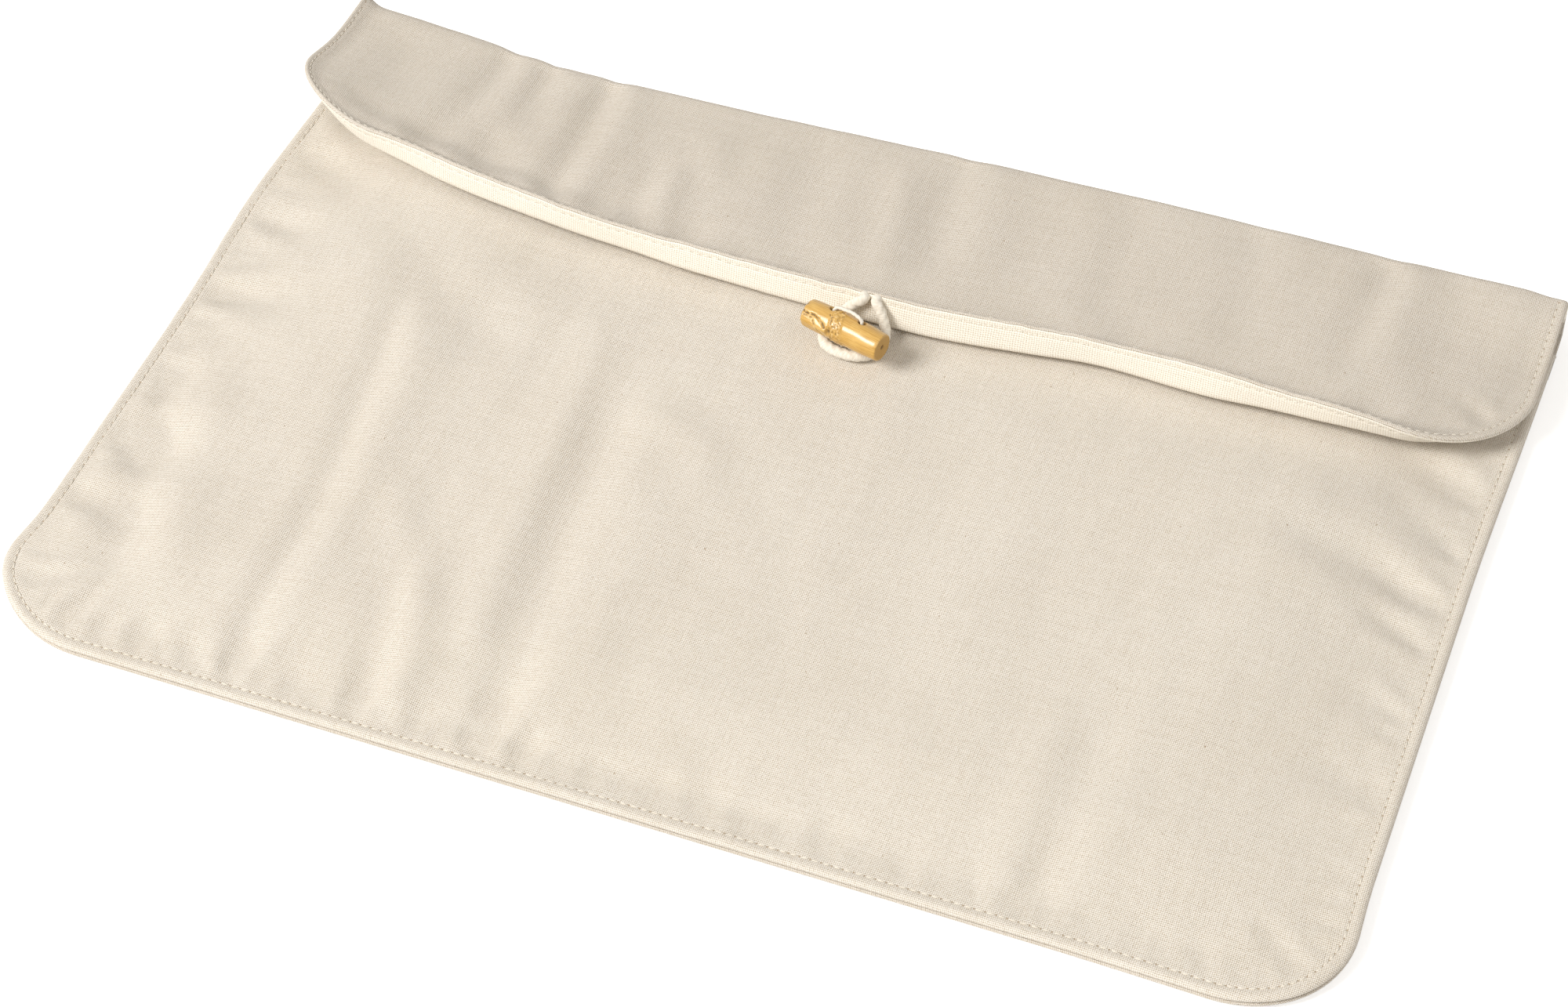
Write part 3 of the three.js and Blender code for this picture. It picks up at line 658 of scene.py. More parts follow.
def pucker_depth(puckers, along, inwards):
    """Dents that run inwards from a row of stitches: place, width, reach, depth and lean."""
    if inwards > 60 or inwards < 0:
        return 0.0
    total = 0.0
    for place, width, reach, depth, lean in puckers:
        off = along - place - lean * inwards
        share = inwards / reach
        if share >= 1.25 or abs(off) > 5 * width:
            continue
        fade = ease(inwards / 5.0 + 0.05) * (1 - ease((share - 0.2) / 1.05))
        spread = width * (0.55 + 0.75 * share)
        dent = exp(-(off / spread) ** 2) - 0.5 * exp(-((abs(off) - 2.0 * spread) / spread) ** 2)
        total += depth * fade * dent
    return total


def small_puckers(seed, length, spacing, depth):
    """Uneven small dents along a row of stitches."""
    draw = Random(seed)
    puckers, place = [], draw.uniform(4, spacing)
    while place < length:
        size = depth * draw.uniform(0.3, 1.0)
        puckers.append((place, draw.uniform(1.8, 3.4), draw.uniform(7, 15), size, draw.uniform(-0.4, 0.4)))
        place += draw.uniform(0.5, 1.5) * spacing
    return puckers


FRONT_PUCKERS = small_puckers(11, RIM_LENGTH, 9, 0.6) + [
    (24, 6, 26, 0.9, 0.3), (47, 6, 30, 1.2, 0.25), (78, 5, 28, 1.4, 0.15), (115, 6, 34, 1.7, -0.1),
    (150, 5, 20, 1.0, 0.0), (178, 9, 44, 1.6, 0.15), (207, 6, 30, 1.2, 0.0), (246, 5, 24, 0.8, 0.1),
    (270, 5, 26, 1.2, 0.35), (297, 3.4, 16, 1.3, 0.2), (312, 2.6, 12, 0.9, 0.1),
    (326, 3.2, 22, 1.5, 0.2), (345, 2.8, 12, 0.9, 0.0), (363, 4, 30, 1.6, 0.2), (383, 3, 14, 1.0, 0.1),
    (401, 4.5, 40, 1.8, 0.1), (415, 3.2, 18, 1.3, 0.1), (436, 3, 14, 1.0, 0.1), (468, 4, 20, 0.9, 0.0),
    (506, 4, 18, 0.9, -0.1), (560, 5, 30, 0.9, 0.1), (640, 6, 24, 0.6, 0.0), (712, 6, 26, 0.8, 0.0),
    (738, 4, 22, 0.8, 0.2), (764, 4, 30, 1.1, 0.35), (781, 5, 36, 1.3, 0.3), (803, 5, 24, 1.0, 0.3),
    (826, 6, 34, 1.2, 0.35), (850, 5, 24, 0.8, 0.2),
]
FRONT_CREASES = [
    (-131.5, 26, -119.5, -129, 4.2, -1.0, 30), (-119, 24, -107, -112, 9.0, 0.8, 40),
    (-71, 34, -58, -98, 6.0, 0.9, 30), (-54, 6, -46, -129, 9.5, -1.5, 30),
    (-106, -44, -83, -84, 6.0, 0.7, 20), (-83, -80, -69, -128, 5.0, 0.9, 14),
    (-90, -70, -82, -128, 4.5, -0.5, 20), (-50, 2, -24, -4, 6.0, 0.45, 12),
    (-24, -3, -13, -28, 6.0, 0.45, 8), (-152, 54, -96, 10, 10.0, -1.0, 24),
    (117.5, -50, 117, -130, 6.0, -0.5, 30), (107, -66, 109, -129, 5.0, 0.4, 30),
    (-190, -24, -168, -106, 6.5, -1.5, 16), (-172, -20, -152, -110, 9.0, 0.6, 30),
    (158, 46, 194, 33, 8.0, 0.9, 14), (30, 34, 22, -40, 8.0, 0.4, 30), (70, 30, 66, -60, 10.0, 0.4, 40),
    (140, 26, 190, 10, 6.0, -0.8, 20),
]
# How far in from the sides and the base the front swells, and its heights at the rim and near the base
PUFF_SIDE, PUFF_BASE = 58.0, 46.0
RIM_TOP, LOW_FRONT = 5.1, 8.4


def front_height(x, y, inset, along):
    """Top of the front canvas inside the rim's stitches."""
    inwards = inset - RIM_STITCH_INSET
    from_side, from_base = HALF_WIDTH - abs(x) - RIM_STITCH_INSET, y - BOTTOM_EDGE - RIM_STITCH_INSET
    short_side, short_base = 1 - clamp(from_side / PUFF_SIDE), 1 - clamp(from_base / PUFF_BASE)
    level = lerp(LOW_FRONT, FRONT_TOP - 0.7, ease((y + 120) / 180))
    height = lerp(RIM_TOP, level, ease(1 - hypot(short_side, short_base)))
    base = ease((from_side - from_base) / 60 + 0.5)
    inside = ease(inwards / 30)
    left = ease((40 - x) / 160)
    height += inside * (0.25 + 0.5 * left) * ripple(x - 0.1 * y, y, 22, 120, 3.1)
    height += inside * 0.8 * ripple(x, y, 70, 90, 8.4)
    height += ease(inwards / 8) * 0.22 * ripple(x, y, 9, 22, 5.7)
    height += ease(inwards / 12) * crease_height(FRONT_CREASES, x, y)
    lip_line = FLAP_FRONT + along_width(FRONT_BOW, x)
    before, behind = ease((lip_line - y) / 34), ease((y - lip_line - 14) / 30)
    height -= inside * along_width(LIP_DIP, x) * (1 - before) * (1 - behind)
    shelf = base * (0.3 + 0.7 * exp(-((along - 450) / 50) ** 2))
    height -= 0.9 * shelf * exp(-((inwards - 8.5) / 4.5) ** 2)
    height -= pucker_depth(FRONT_PUCKERS, along, inwards)
    height = max(height, RIM_TOP - 0.45)
    limit, soft = FRONT_TOP + 0.2, 0.6
    return height if height < limit - soft else limit - soft * exp(-(height - limit + soft) / soft)


# Sections of the cloths and battings at the rim
FRONT_RIM = EdgeProfile([
    (5.6, 3.62), (3.4, 3.62), (1.4, 3.6), (0.55, 3.58), (0.18, 3.72), (0.02, 4.05), (0.05, 4.42),
    (0.3, 4.86), (0.75, 5.18), (1.4, 5.36), (2.1, 5.36), (2.7, 5.28), (3.1, 5.16), (3.5, 5.08),
    (3.9, 5.14), (4.5, 5.17),
])
BACK_RIM = EdgeProfile([
    (5.6, 3.0), (3.4, 3.0), (1.4, 3.0), (0.55, 3.05), (0.18, 2.95), (0.02, 2.65), (0.06, 2.3),
    (0.35, 1.85), (0.8, 1.55), (1.4, 1.4), (2.1, 1.36), (2.8, 1.45), (3.2, 1.6), (3.5, 1.7), (3.9, 1.6),
    (5.0, 1.1), (7.0, 0.55), (10.0, 0.2), (13.5, 0.05), (17.0, 0.0),
])
LINING_EDGE = EdgeProfile([(2.0, 3.3), (4.0, 3.3), (6.0, 3.35), (8.0, 3.5), (10.0, 3.6)])
FRONT_LINING_EDGE = EdgeProfile([(8.0, 3.72), (11.0, 3.72), (14.0, 3.75), (17.0, 3.8)])
BATTING_EDGE = EdgeProfile([(34.0, 0.0), (35.5, 0.0)])
BACK_BATTING_EDGE = EdgeProfile([(16.5, 2.8), (18.5, 3.0)])

# Mouth hem: its section over the edge and back in under the cloth, and the line of its stitches
HEM_START = MOUTH_EDGE - 1.0
HEM_ROLL = [
    (0.0, 0.0), (0.55, -0.12), (0.95, -0.5), (1.05, -1.0), (0.85, -1.5), (0.3, -1.75), (-1.0, -1.8),
    (-9.0, -1.8),
]
MOUTH_STITCH_LINE = MOUTH_EDGE - 6.0


def hem_rows():
    rows, length = [], HEM_START
    for (y0, z0), (y1, z1) in zip(HEM_ROLL, HEM_ROLL[1:]):
        length += hypot(y1 - y0, z1 - z0)
        rows.append(length)
    return rows


MOUTH_HEM_ROWS = hem_rows()


def front_canvas_point(x, y):
    plan_x, plan_y, inset, height, along, flat = rim_place(x, min(y, HEM_START), FRONT_RIM)
    drop = 0.0
    if y > HEM_START:
        hem_y, drop = HEM_ROLL[MOUTH_HEM_ROWS.index(y) + 1]
        plan_y += hem_y
        flat = flat[0], max(flat[1], y)
    if height is None:
        height = front_height(plan_x, plan_y, inset, along)
    else:
        rim_wave = 0.22 * noise.noise(Vector((along / 11, inset / 5, 2.0)))
        height += rim_wave * ease(height - 3.6)
    mouth_dip = 0.9 * exp(-((plan_y - MOUTH_STITCH_LINE) / 2.2) ** 2) * ease((inset - 8) / 20)
    hem_fall = lerp(0.6, 1.0, ease((inset - 5) / 15)) * ease((height - 4.0) / 0.9)
    height += drop * hem_fall - mouth_dip
    return (plan_x, plan_y, height), flat, rim_seam(along, inset)


def make_front():
    columns, rows = rim_spacing(FRONT_RIM, 2.0, HEM_START)
    mesh = grid_sheet(columns, rows + MOUTH_HEM_ROWS, front_canvas_point)
    canvas = thicken(finish_piece("front_canvas", mesh, CANVAS, "pouch"), CANVAS_THICKNESS)
    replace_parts(canvas, "front_cloth", "rim_seam_allowance", "mouth_seam_allowance")

    def lining_point(x, y):
        plan_x, plan_y, inset, height, along, flat = rim_place(x, y, FRONT_LINING_EDGE)
        if height is None:
            height = front_height(plan_x, plan_y, inset, along) - 3.4
            height = max(height, 3.8) + 1.2 * ease((plan_y - MOUTH_EDGE + 9) / 8)
        return (plan_x, plan_y, height), flat, rim_seam(along, inset)

    columns, rows = rim_spacing(FRONT_LINING_EDGE, 5.0, MOUTH_EDGE - 0.4)
    mesh = grid_sheet(columns, rows, lining_point)
    bmesh.ops.reverse_faces(mesh, faces=mesh.faces)
    lining = thicken(finish_piece("front_lining_cloth", mesh, LINING, "pouch"), LINING_THICKNESS)
    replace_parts(lining, "front_lining")

    def batting_point(x, y):
        plan_x, plan_y, inset, _, along, flat = rim_place(x, y, BATTING_EDGE)
        height = front_height(plan_x, plan_y, inset, along) - 1.0
        return (plan_x, plan_y, height), flat, (0.0, 0.0)

    columns, rows = rim_spacing(BATTING_EDGE, 3.0, MOUTH_EDGE - 11)
    mesh = grid_sheet(columns, rows, batting_point)
    batting = thicken(finish_piece("front_batting", mesh, BATTING, "pouch"), 0.8)
    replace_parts(batting, "front_padding")


# Back wall and lower half of the fold: the radius in which each cloth turns up at the fold line
CANVAS_TURN, LINING_TURN = WALL_HALF * 2, 0.4


def spine_rows(radius, step):
    """Flat rows round the fold's lower turn and up to the middle of the fold."""
    turn = spaced(0.0, radius * pi / 2, step)
    rise = spaced(0.0, SPINE_MIDDLE - WALL_HALF * 2, 2.0)
    rows = [FOLD_LINE + length for length in turn[1:]]
    return rows + [rows[-1] + length for length in rise[1:]]


def round_lower_turn(y, radius):
    """Section of a cloth that runs along the back and turns up round the fold line."""
    beyond = y - FOLD_LINE
    if beyond <= 0:
        return y, 0.0
    turn = min(beyond / radius, pi / 2)
    rise = max(beyond - radius * pi / 2, 0.0)
    return FOLD_LINE + radius * sin(turn), radius * (1 - cos(turn)) + rise


def make_back():
    def canvas_point(x, y):
        plan_x, plan_y, inset, height, along, flat = rim_place(x, min(y, FOLD_LINE), BACK_RIM)
        turned_y, rise = round_lower_turn(y, CANVAS_TURN)
        if height is None:
            height = 0.0
        if y > FOLD_LINE:
            turn = min((y - FOLD_LINE) / CANVAS_TURN, pi / 2)
            tucked = 0.6 if rise > SPINE_MIDDLE + 0.1 else 0.0
            plan_y = turned_y - 0.7 * height * sin(turn) - tucked
            height = height * cos(turn) + rise
        return (plan_x, plan_y, height), (flat[0], max(flat[1], y)), rim_seam(along, inset)

    columns, rows = rim_spacing(BACK_RIM, 4.0, FOLD_LINE)
    turned = spine_rows(CANVAS_TURN, 0.8)
    turned += [turned[-1] + 0.2, turned[-1] + 1.6]
    mesh = grid_sheet(columns, rows + turned, canvas_point)
    bmesh.ops.reverse_faces(mesh, faces=mesh.faces)
    canvas = thicken(finish_piece("back_canvas", mesh, FLAP_CANVAS, None), CANVAS_THICKNESS)
    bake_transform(canvas)
    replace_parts(canvas, "back_cloth", "fold_lower_bend")

    def lining_point(x, y):
        plan_x, plan_y, inset, height, along, flat = rim_place(x, min(y, FOLD_LINE), LINING_EDGE)
        turned_y, rise = round_lower_turn(y, LINING_TURN)
        if y > FOLD_LINE:
            plan_y = turned_y + 1.2 * (1 - ease((inset - 2) / 10)) * ease((y - FOLD_LINE) / 4)
        height = (3.6 if height is None else height) + rise
        return (plan_x, plan_y, height), (flat[0], max(flat[1], y)), rim_seam(along, inset)

    columns, rows = rim_spacing(LINING_EDGE, 8.0, FOLD_LINE)
    turned = spine_rows(LINING_TURN, 0.3)
    mesh = grid_sheet(columns, rows + turned, lining_point)
    lining = thicken(finish_piece("back_lining_cloth", mesh, LINING, None), LINING_THICKNESS)
    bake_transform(lining)
    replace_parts(lining, "back_lining")

    def batting_point(x, y):
        plan_x, plan_y, _, height, _, flat = rim_place(x, y, BACK_BATTING_EDGE)
        return (plan_x, plan_y, 3.0 if height is None else height), flat, (0.0, 0.0)

    columns, rows = rim_spacing(BACK_BATTING_EDGE, 12.0, FOLD_LINE - 1)
    mesh = grid_sheet(columns, rows, batting_point)
    batting = thicken(finish_piece("back_batting", mesh, BATTING, "pouch"), 2.0)
    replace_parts(batting, "back_padding")


# Flap and upper half of the fold
FLAP_PUCKERS = small_puckers(23, 640, 15, 0.22) + [
    (128, 6, 26, 0.7, 0.0), (190, 6, 30, 0.9, 0.1), (222, 5, 22, 0.8, 0.1), (262, 6, 26, 0.8, 0.0),
    (330, 6, 24, 0.6, 0.0), (424, 7, 26, 0.7, 0.0), (498, 6, 24, 0.7, 0.0), (540, 5, 20, 0.7, 0.0),
]
FLAP_CREASES = [
    (-107.5, 134, -105, 70, 4.2, -1.3, 8), (-143, 134, -150, 84, 4.8, -1.0, 8),
    (-130, 134, -128, 108, 4.5, -0.9, 8), (-132, 96, -128, 74, 6.0, -0.9, 8),
    (-97, 130, -95, 72, 6.0, 0.6, 12), (-73, 100, -69, 72, 4.5, 0.8, 10),
    (-80, 104, -77, 72, 4.0, -0.7, 10), (-65, 120, -60, 96, 4.5, 0.6, 10),
    (-36, 130, -27, 68, 8.0, -0.7, 20), (-6, 126, 4, 70, 5.0, 0.8, 14),
    (10, 134, 17, 84, 6.0, -1.0, 10), (58, 130, 62, 74, 9.0, 0.5, 20), (66, 134, 70, 78, 6.0, -0.5, 14),
    (104, 134, 112, 82, 7.0, -0.7, 14), (146, 134, 144, 84, 5.5, -1.0, 12),
    (154, 134, 153, 100, 5.0, 0.7, 12), (172, 132, 170, 84, 7.0, -0.5, 14),
    (-180, 128, -172, 98, 8.0, -0.6, 10),
]

# Sections of the flap's two cloths where the lip stands full: distance in from the lip's front and
# height over the middle of the flap
CANVAS_LIP = [
    (2.6, 8.3), (2.72, 8.72), (3.15, 8.95), (3.65, 8.8), (4.05, 8.2), (4.45, 7.0), (5.0, 5.5),
    (5.8, 4.2), (7.2, 3.1), (9.4, 2.4), (13.0, 2.0), (18.0, 1.95), (24.0, 2.0),
]
LINING_LIP = [
    (2.6, 8.3), (2.2, 7.75), (1.85, 6.6), (1.45, 5.0), (1.0, 3.3), (0.55, 1.7), (0.2, 0.3),
    (0.15, -0.7), (0.5, -1.5), (1.3, -2.0), (2.8, -2.2), (5.0, -2.2), (9.0, -2.0), (16.0, -1.7),
    (24.0, -1.6),
]


# Middle of the flap's rounded corners, the ends of its row of stitches, and rows close to its edges
FLAP_CORNER_X, FLAP_CORNER_Y = HALF_WIDTH - FLAP_CORNER, FLAP_FRONT + FLAP_CORNER
FLAP_ROW_LEFT, FLAP_ROW_RIGHT = 60, 560
EDGE_ROWS = [
    0.0, 0.2, 0.45, 0.75, 1.1, 1.5, 2.0, 2.5, 3.0, 3.4, 3.8, 4.3, 4.9, 5.5, 6.1, 6.8, 7.6, 8.4, 9.2, 10.0,
    11.0, 12.2,
]


def lip_fullness(x, front_share):
    """The lip stands full along the front, low round the left corner, and lies flat at the right."""
    full = along_width(LIP_FULLNESS, x)
    return full if x < 0 else full * front_share


def flap_level(x, y):
    """Middle of the flap's thickness, above the front wall."""
    inside = ease((HALF_WIDTH - abs(x)) / 40)
    behind = ease((FOLD_LINE - y) / 30)
    droop_right = 4.4 * (1 - ease((HALF_WIDTH - x) / 55)) * behind
    droop_left = 0.8 * (1 - ease((HALF_WIDTH + x) / 45)) * behind
    raised_left = 4.2 * exp(-((x + 200) / 30) ** 2 - ((y - 84) / 28) ** 2)
    waves = 0.5 * ripple(x + 0.1 * y, y, 26, 110, 12.3) + 0.7 * ripple(x, y, 75, 60, 15.9)
    waves *= 0.35 + 0.65 * ease((y - FLAP_FRONT - along_width(FRONT_BOW, x) - 8) / 16)
    level = 17.0 - 0.4 * ease((90 - y) / 30) - droop_right - droop_left + raised_left
    return level + waves * (0.35 + 0.65 * inside) * ease((FOLD_LINE - y) / 18)


def fold_sag(x):
    """Dents along the head of the fold, where the flap's folds cross it."""
    sag = 0.4 * ripple(x, 0, 16, 1, 21.0) + 0.5 * ripple(x, 0, 55, 1, 27.0)
    for place, width, depth in ((-143, 4, 0.7), (-129, 3, 0.7), (-107, 4, 0.8), (12, 5, 0.5), (147, 5, 0.5)):
        sag += depth * exp(-((x - place) / width) ** 2)
    return sag


def left_spread(x, y):
    """How far the flap's left end lies out past the rim."""
    return ease((-120 - x) / 75) * (1.0 + 2.6 * exp(-((y - 96) / 12) ** 2))


class FlapCloth:
    """One of the flap's two cloths, from the tip of its lip to the middle of the fold.

    half is the cloth's distance from the middle of the flap's thickness, and hem that at a flat edge.
    """

    def __init__(self, lip, outer, half, hem):
        self.lip = EdgeProfile(lip)
        self.outer = 1 if outer else -1
        self.half, self.hem = half, hem
        self.corner = self.lip.end + FLAP_CORNER - LIP_REACH
        self.half_width = HALF_WIDTH - FLAP_CORNER + self.corner
        self.fold = self.lip.end + FOLD_LINE - FLAP_FRONT - LIP_REACH
        self.end = self.fold + FOLD_TURN + SPINE_HEAD

    def section(self, length, share, front_share):
        """Distance in from the front line and height, at a flat distance from the tip."""
        in_lip, rise = self.lip.at(length)
        flat = min(length / self.lip.end, 1.0)
        start = 3.0 * front_share
        in_flat = lerp(start, LIP_REACH, flat) if flat < 1 else in_lip
        from_edge = in_flat - start
        close = sqrt(1 - (1 - min(from_edge / 1.5, 1.0)) ** 2)
        thick = close * lerp(self.hem, self.half, ease((from_edge - 5) / 9)) * self.outer
        if rise is None:
            rise = self.half * self.outer
        return lerp(in_flat, in_lip, share), lerp(thick, rise, share)

    def point(self, x, v, proud=0.0):
        """Point, place on the cloth map and seam map at a flat place on the cloth."""
        side = 1 if x >= 0 else -1
        corner = self.corner
        flat = (x, v)
        from_side, front_share = self.half_width - abs(x), 0.0
        if from_side < corner and v < corner:
            reach, turn = round_corner(corner - from_side, corner - v)
            length = corner - reach
            flat = side * (self.half_width - corner + reach * cos(turn)), corner - reach * sin(turn)
            out = Vector((side * cos(turn), -sin(turn), 0))
            base = Vector((side * FLAP_CORNER_X, FLAP_CORNER_Y, 0))
            front_share = sin(turn)
            along = FLAP_CORNER * turn
        elif from_side < v:
            length = from_side
            out = Vector((side, 0, 0))
            base = Vector((side * FLAP_CORNER_X, FLAP_CORNER_Y + v - corner, 0))
            along = corner - v
        else:
            length = v
            out = Vector((0, -1, 0))
            base = Vector((x, FLAP_CORNER_Y, 0))
            front_share = 1.0
            along = FLAP_CORNER * pi / 2 + from_side - corner
        along = FLAP_ROW_LEFT + along if side < 0 else FLAP_ROW_RIGHT - along
        share = lip_fullness(base.x + out.x * FLAP_CORNER, front_share)
        inset, rise = self.section(length, share, front_share)
        near = self.section(max(length - 0.2, 0.0), share, front_share)
        far = self.section(length + 0.2, share, front_share)
        slope = Vector((far[0] - near[0], far[1] - near[1])).normalized() * self.outer
        normal = Vector((out.x * slope.y, out.y * slope.y, slope.x))
        from_stitch = length - lerp(SIDE_STITCH, LIP_STITCH, share)
        plan = base + out * (FLAP_CORNER - inset)
        beyond = v - self.fold
        if beyond > 0:
            turn = min(beyond / FOLD_TURN, 1.0) * pi / 2
            drop = max(beyond - FOLD_TURN, 0.0)
            plan.x = side * FLAP_CORNER_X + out.x * (FLAP_CORNER - inset) if from_side < corner else x
            near_head = ease(1 - drop / SPINE_HEAD)
            sag = fold_sag(plan.x) * near_head
            reach = WALL_HALF + rise
            flat = (flat[0], self.fold + reach * turn + drop)
            spread = left_spread(plan.x, FOLD_LINE) * near_head
            height = FOLD_HEAD + reach * cos(turn) - drop - sag
            point = Vector((plan.x - spread, FOLD_LINE + reach * sin(turn), height))
            return point, flat, (along / STITCH_PITCH, max(from_stitch, 1.0))
        plan.y += along_width(FRONT_BOW, plan.x) * ease((FOLD_LINE - plan.y) / 74)
        sag = fold_sag(plan.x) * ease(1 - (FOLD_LINE - plan.y) / 26)
        plan.x -= left_spread(plan.x, plan.y)
        field = ease((length - (4 if self.outer > 0 else 12)) / 8)
        plan.z = flap_level(plan.x, plan.y) + rise - sag + field * crease_height(FLAP_CREASES, plan.x, plan.y)
        swell = exp(-((inset - 9) / 5.5) ** 2) * ease(inset / 5 - 0.6)
        plan.z += 1.8 * front_share * ease((-40 - plan.x) / 80) * swell
        lumps = 0.5 * ripple(base.x, out.x, 6, 1, 31.0) + 0.6 * ripple(base.x, out.x, 15, 1, 35.0)
        plan.z += lumps * share * ease(1 - (length - 2) / 6)
        sink = 0.22 * exp(-(from_stitch / 0.8) ** 2) - proud
        if self.outer > 0:
            sink += pucker_depth(FLAP_PUCKERS, along, length - LIP_STITCH) * ease((length - 3) / 6)
        return plan - normal * sink, flat, (along / STITCH_PITCH, from_stitch)

    def spacing(self, step):
        """Flat columns and rows, close at the edges and over the fold."""
        field = spaced(EDGE_ROWS[-1], self.fold, step)[1:]
        turn = [self.fold + length for length in spaced(0.0, FOLD_TURN, 0.4)[1:]]
        spine = [turn[-1] + length for length in spaced(0.0, SPINE_HEAD, 1.8)[1:]]
        columns = [-self.half_width + length for length in EDGE_ROWS]
        columns += spaced(columns[-1], -columns[-1], step)[1:-1]
        columns += [self.half_width - length for length in reversed(EDGE_ROWS)]
        return columns, EDGE_ROWS + field + turn + spine


OUTER_CLOTH = FlapCloth(CANVAS_LIP, outer=True, half=2.0, hem=1.3)
INNER_CLOTH = FlapCloth(LINING_LIP, outer=False, half=1.6, hem=1.2)


def make_flap():
    columns, rows = OUTER_CLOTH.spacing(2.4)
    mesh = grid_sheet(columns, rows, OUTER_CLOTH.point)
    canvas = thicken(finish_piece("flap_canvas", mesh, FLAP_CANVAS, None), FLAP_CANVAS_THICKNESS)
    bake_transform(canvas)
    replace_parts(canvas, "flap_cloth", "fold_cloth", "fold_upper_bend", "flap_seam_allowance")
    columns, rows = INNER_CLOTH.spacing(3.2)
    mesh = grid_sheet(columns, rows, INNER_CLOTH.point)
    bmesh.ops.reverse_faces(mesh, faces=mesh.faces)
    lining = thicken(finish_piece("flap_lining_cloth", mesh, LINING, None), LINING_THICKNESS)
    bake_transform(lining)
    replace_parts(lining, "flap_lining", "fold_lining")

    def batting_point(x, v):
        point, flat, stitched = OUTER_CLOTH.point(x, v)
        return point - Vector((0, 0, 1.3)), flat, stitched

    columns = spaced(-HALF_WIDTH + 14, HALF_WIDTH - 14, 8.0)
    mesh = grid_sheet(columns, spaced(22, OUTER_CLOTH.fold - 3, 6.0), batting_point)
    batting = thicken(finish_piece("flap_batting", mesh, BATTING, "flap"), 1.2)
    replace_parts(batting, "flap_padding")

    def fold_batting_point(x, z):
        return (x, FOLD_LINE + 2.7, z), (x, z), (0.0, 0.0)

    mesh = grid_sheet(columns, spaced(5, FOLD_HEAD - 2, 2.0), fold_batting_point)
    fold_batting = thicken(finish_piece("fold_batting", mesh, BATTING, "fold"), 1.8, 1.0)
    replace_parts(fold_batting, "fold_padding")


# Rows of stitches
def stitch_row(name, node, body, places, stitch):
    """One row of separate stitches; each place is a point, its direction and the cloth's normal."""
    length, thickness = stitch
    draw = Random(len(name) + len(places))
    mesh = bmesh.new()
    for point, direction, normal in places:
        along = direction.normalized()
        up = (normal - along * normal.dot(along)).normalized()
        across = up.cross(along)
        yaw = draw.uniform(-0.1, 0.1)
        along, across = along * cos(yaw) + across * sin(yaw), across * cos(yaw) - along * sin(yaw)
        size = draw.uniform(0.92, 1.06)
        turn = Matrix((along * length * size / 2, across * thickness / 2, up * thickness / 2)).transposed()
        shape = Matrix.Translation(to_metres(point)) @ (turn * MM).to_4x4()
        bmesh.ops.create_uvsphere(mesh, u_segments=6, v_segments=5, radius=1.0, matrix=shape)
    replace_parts(finish_piece(name, mesh, THREAD, body), node)


def places_on(surface, count):
    """Stitch places along a surface line, which gives a point for a share of the row and an offset across."""
    places = []
    for index in range(count):
        share = (index + 0.5) / count
        step = 0.2 / count
        before, after = settle(surface(share - step, 0.0)), settle(surface(share + step, 0.0))
        beside = settle(surface(share, 0.6)) - settle(surface(share, -0.6))
        direction = after - before
        places.append(((before + after) / 2, direction, direction.cross(beside)))
    return places


def make_stitches():
    rim_count = round(RIM_LENGTH / STITCH_PITCH)

    def rim_line(height, sign):
        def line(share, across):
            point = rim_point(share * RIM_LENGTH, RIM_STITCH_INSET + sign * across)
            point.z = height
            return point
        return line

    for name, node, height, sign in (
        ("rim_stitches", "rim_topstitch", 5.14, 1),
        ("rim_under_stitches", "rim_bobbin_thread", 1.62, -1),
    ):
        stitch_row(name, node, "pouch", places_on(rim_line(height, sign), rim_count), RIM_STITCH)

    mouth_half = HALF_WIDTH - 8

    def mouth_line(share, across):
        x = lerp(-mouth_half, mouth_half, share)
        point, _, _ = front_canvas_point(x, MOUTH_STITCH_LINE - across)
        return Vector(point) + Vector((0, 0, 0.12))

    mouth_places = places_on(mouth_line, round(2 * mouth_half / STITCH_PITCH))
    stitch_row("mouth_stitches", "mouth_topstitch", "pouch", mouth_places, RIM_STITCH)

    def flap_line(cloth):
        """Stitch line of one of the flap's cloths, from the left end of the fold round to the right."""
        side = cloth.fold - cloth.corner - 3
        arc = FLAP_CORNER * pi / 2
        total = 2 * (side + arc + cloth.half_width - cloth.corner)

        def line(share, across):
            along = clamp(share) * total
            sign = 1 if along > total / 2 else -1
            along = min(along, total - along)
            turn = clamp((along - side) / arc) * pi / 2
            run = max(along - side - arc, 0.0)
            edge = HALF_WIDTH - FLAP_CORNER * (1 - cos(turn)) - run
            inset = lerp(SIDE_STITCH, LIP_STITCH, lip_fullness(sign * edge, sin(turn))) + cloth.outer * across
            reach = cloth.corner - inset
            out_side = reach * min(2 - turn / (pi / 4), 1.0)
            out_tip = reach * min(turn / (pi / 4), 1.0)
            x = sign * (cloth.half_width - cloth.corner + out_side - run)
            v = cloth.corner - out_tip + max(side - along, 0.0)
            return cloth.point(x, v, 0.06)[0]

        return line, round(total / STITCH_PITCH)

    for name, node, cloth in (
        ("flap_stitches", "flap_topstitch", OUTER_CLOTH),
        ("flap_under_stitches", "flap_bobbin_thread", INNER_CLOTH),
    ):
        line, count = flap_line(cloth)
        stitch_row(name, node, "flap", places_on(line, count), FLAP_STITCH)


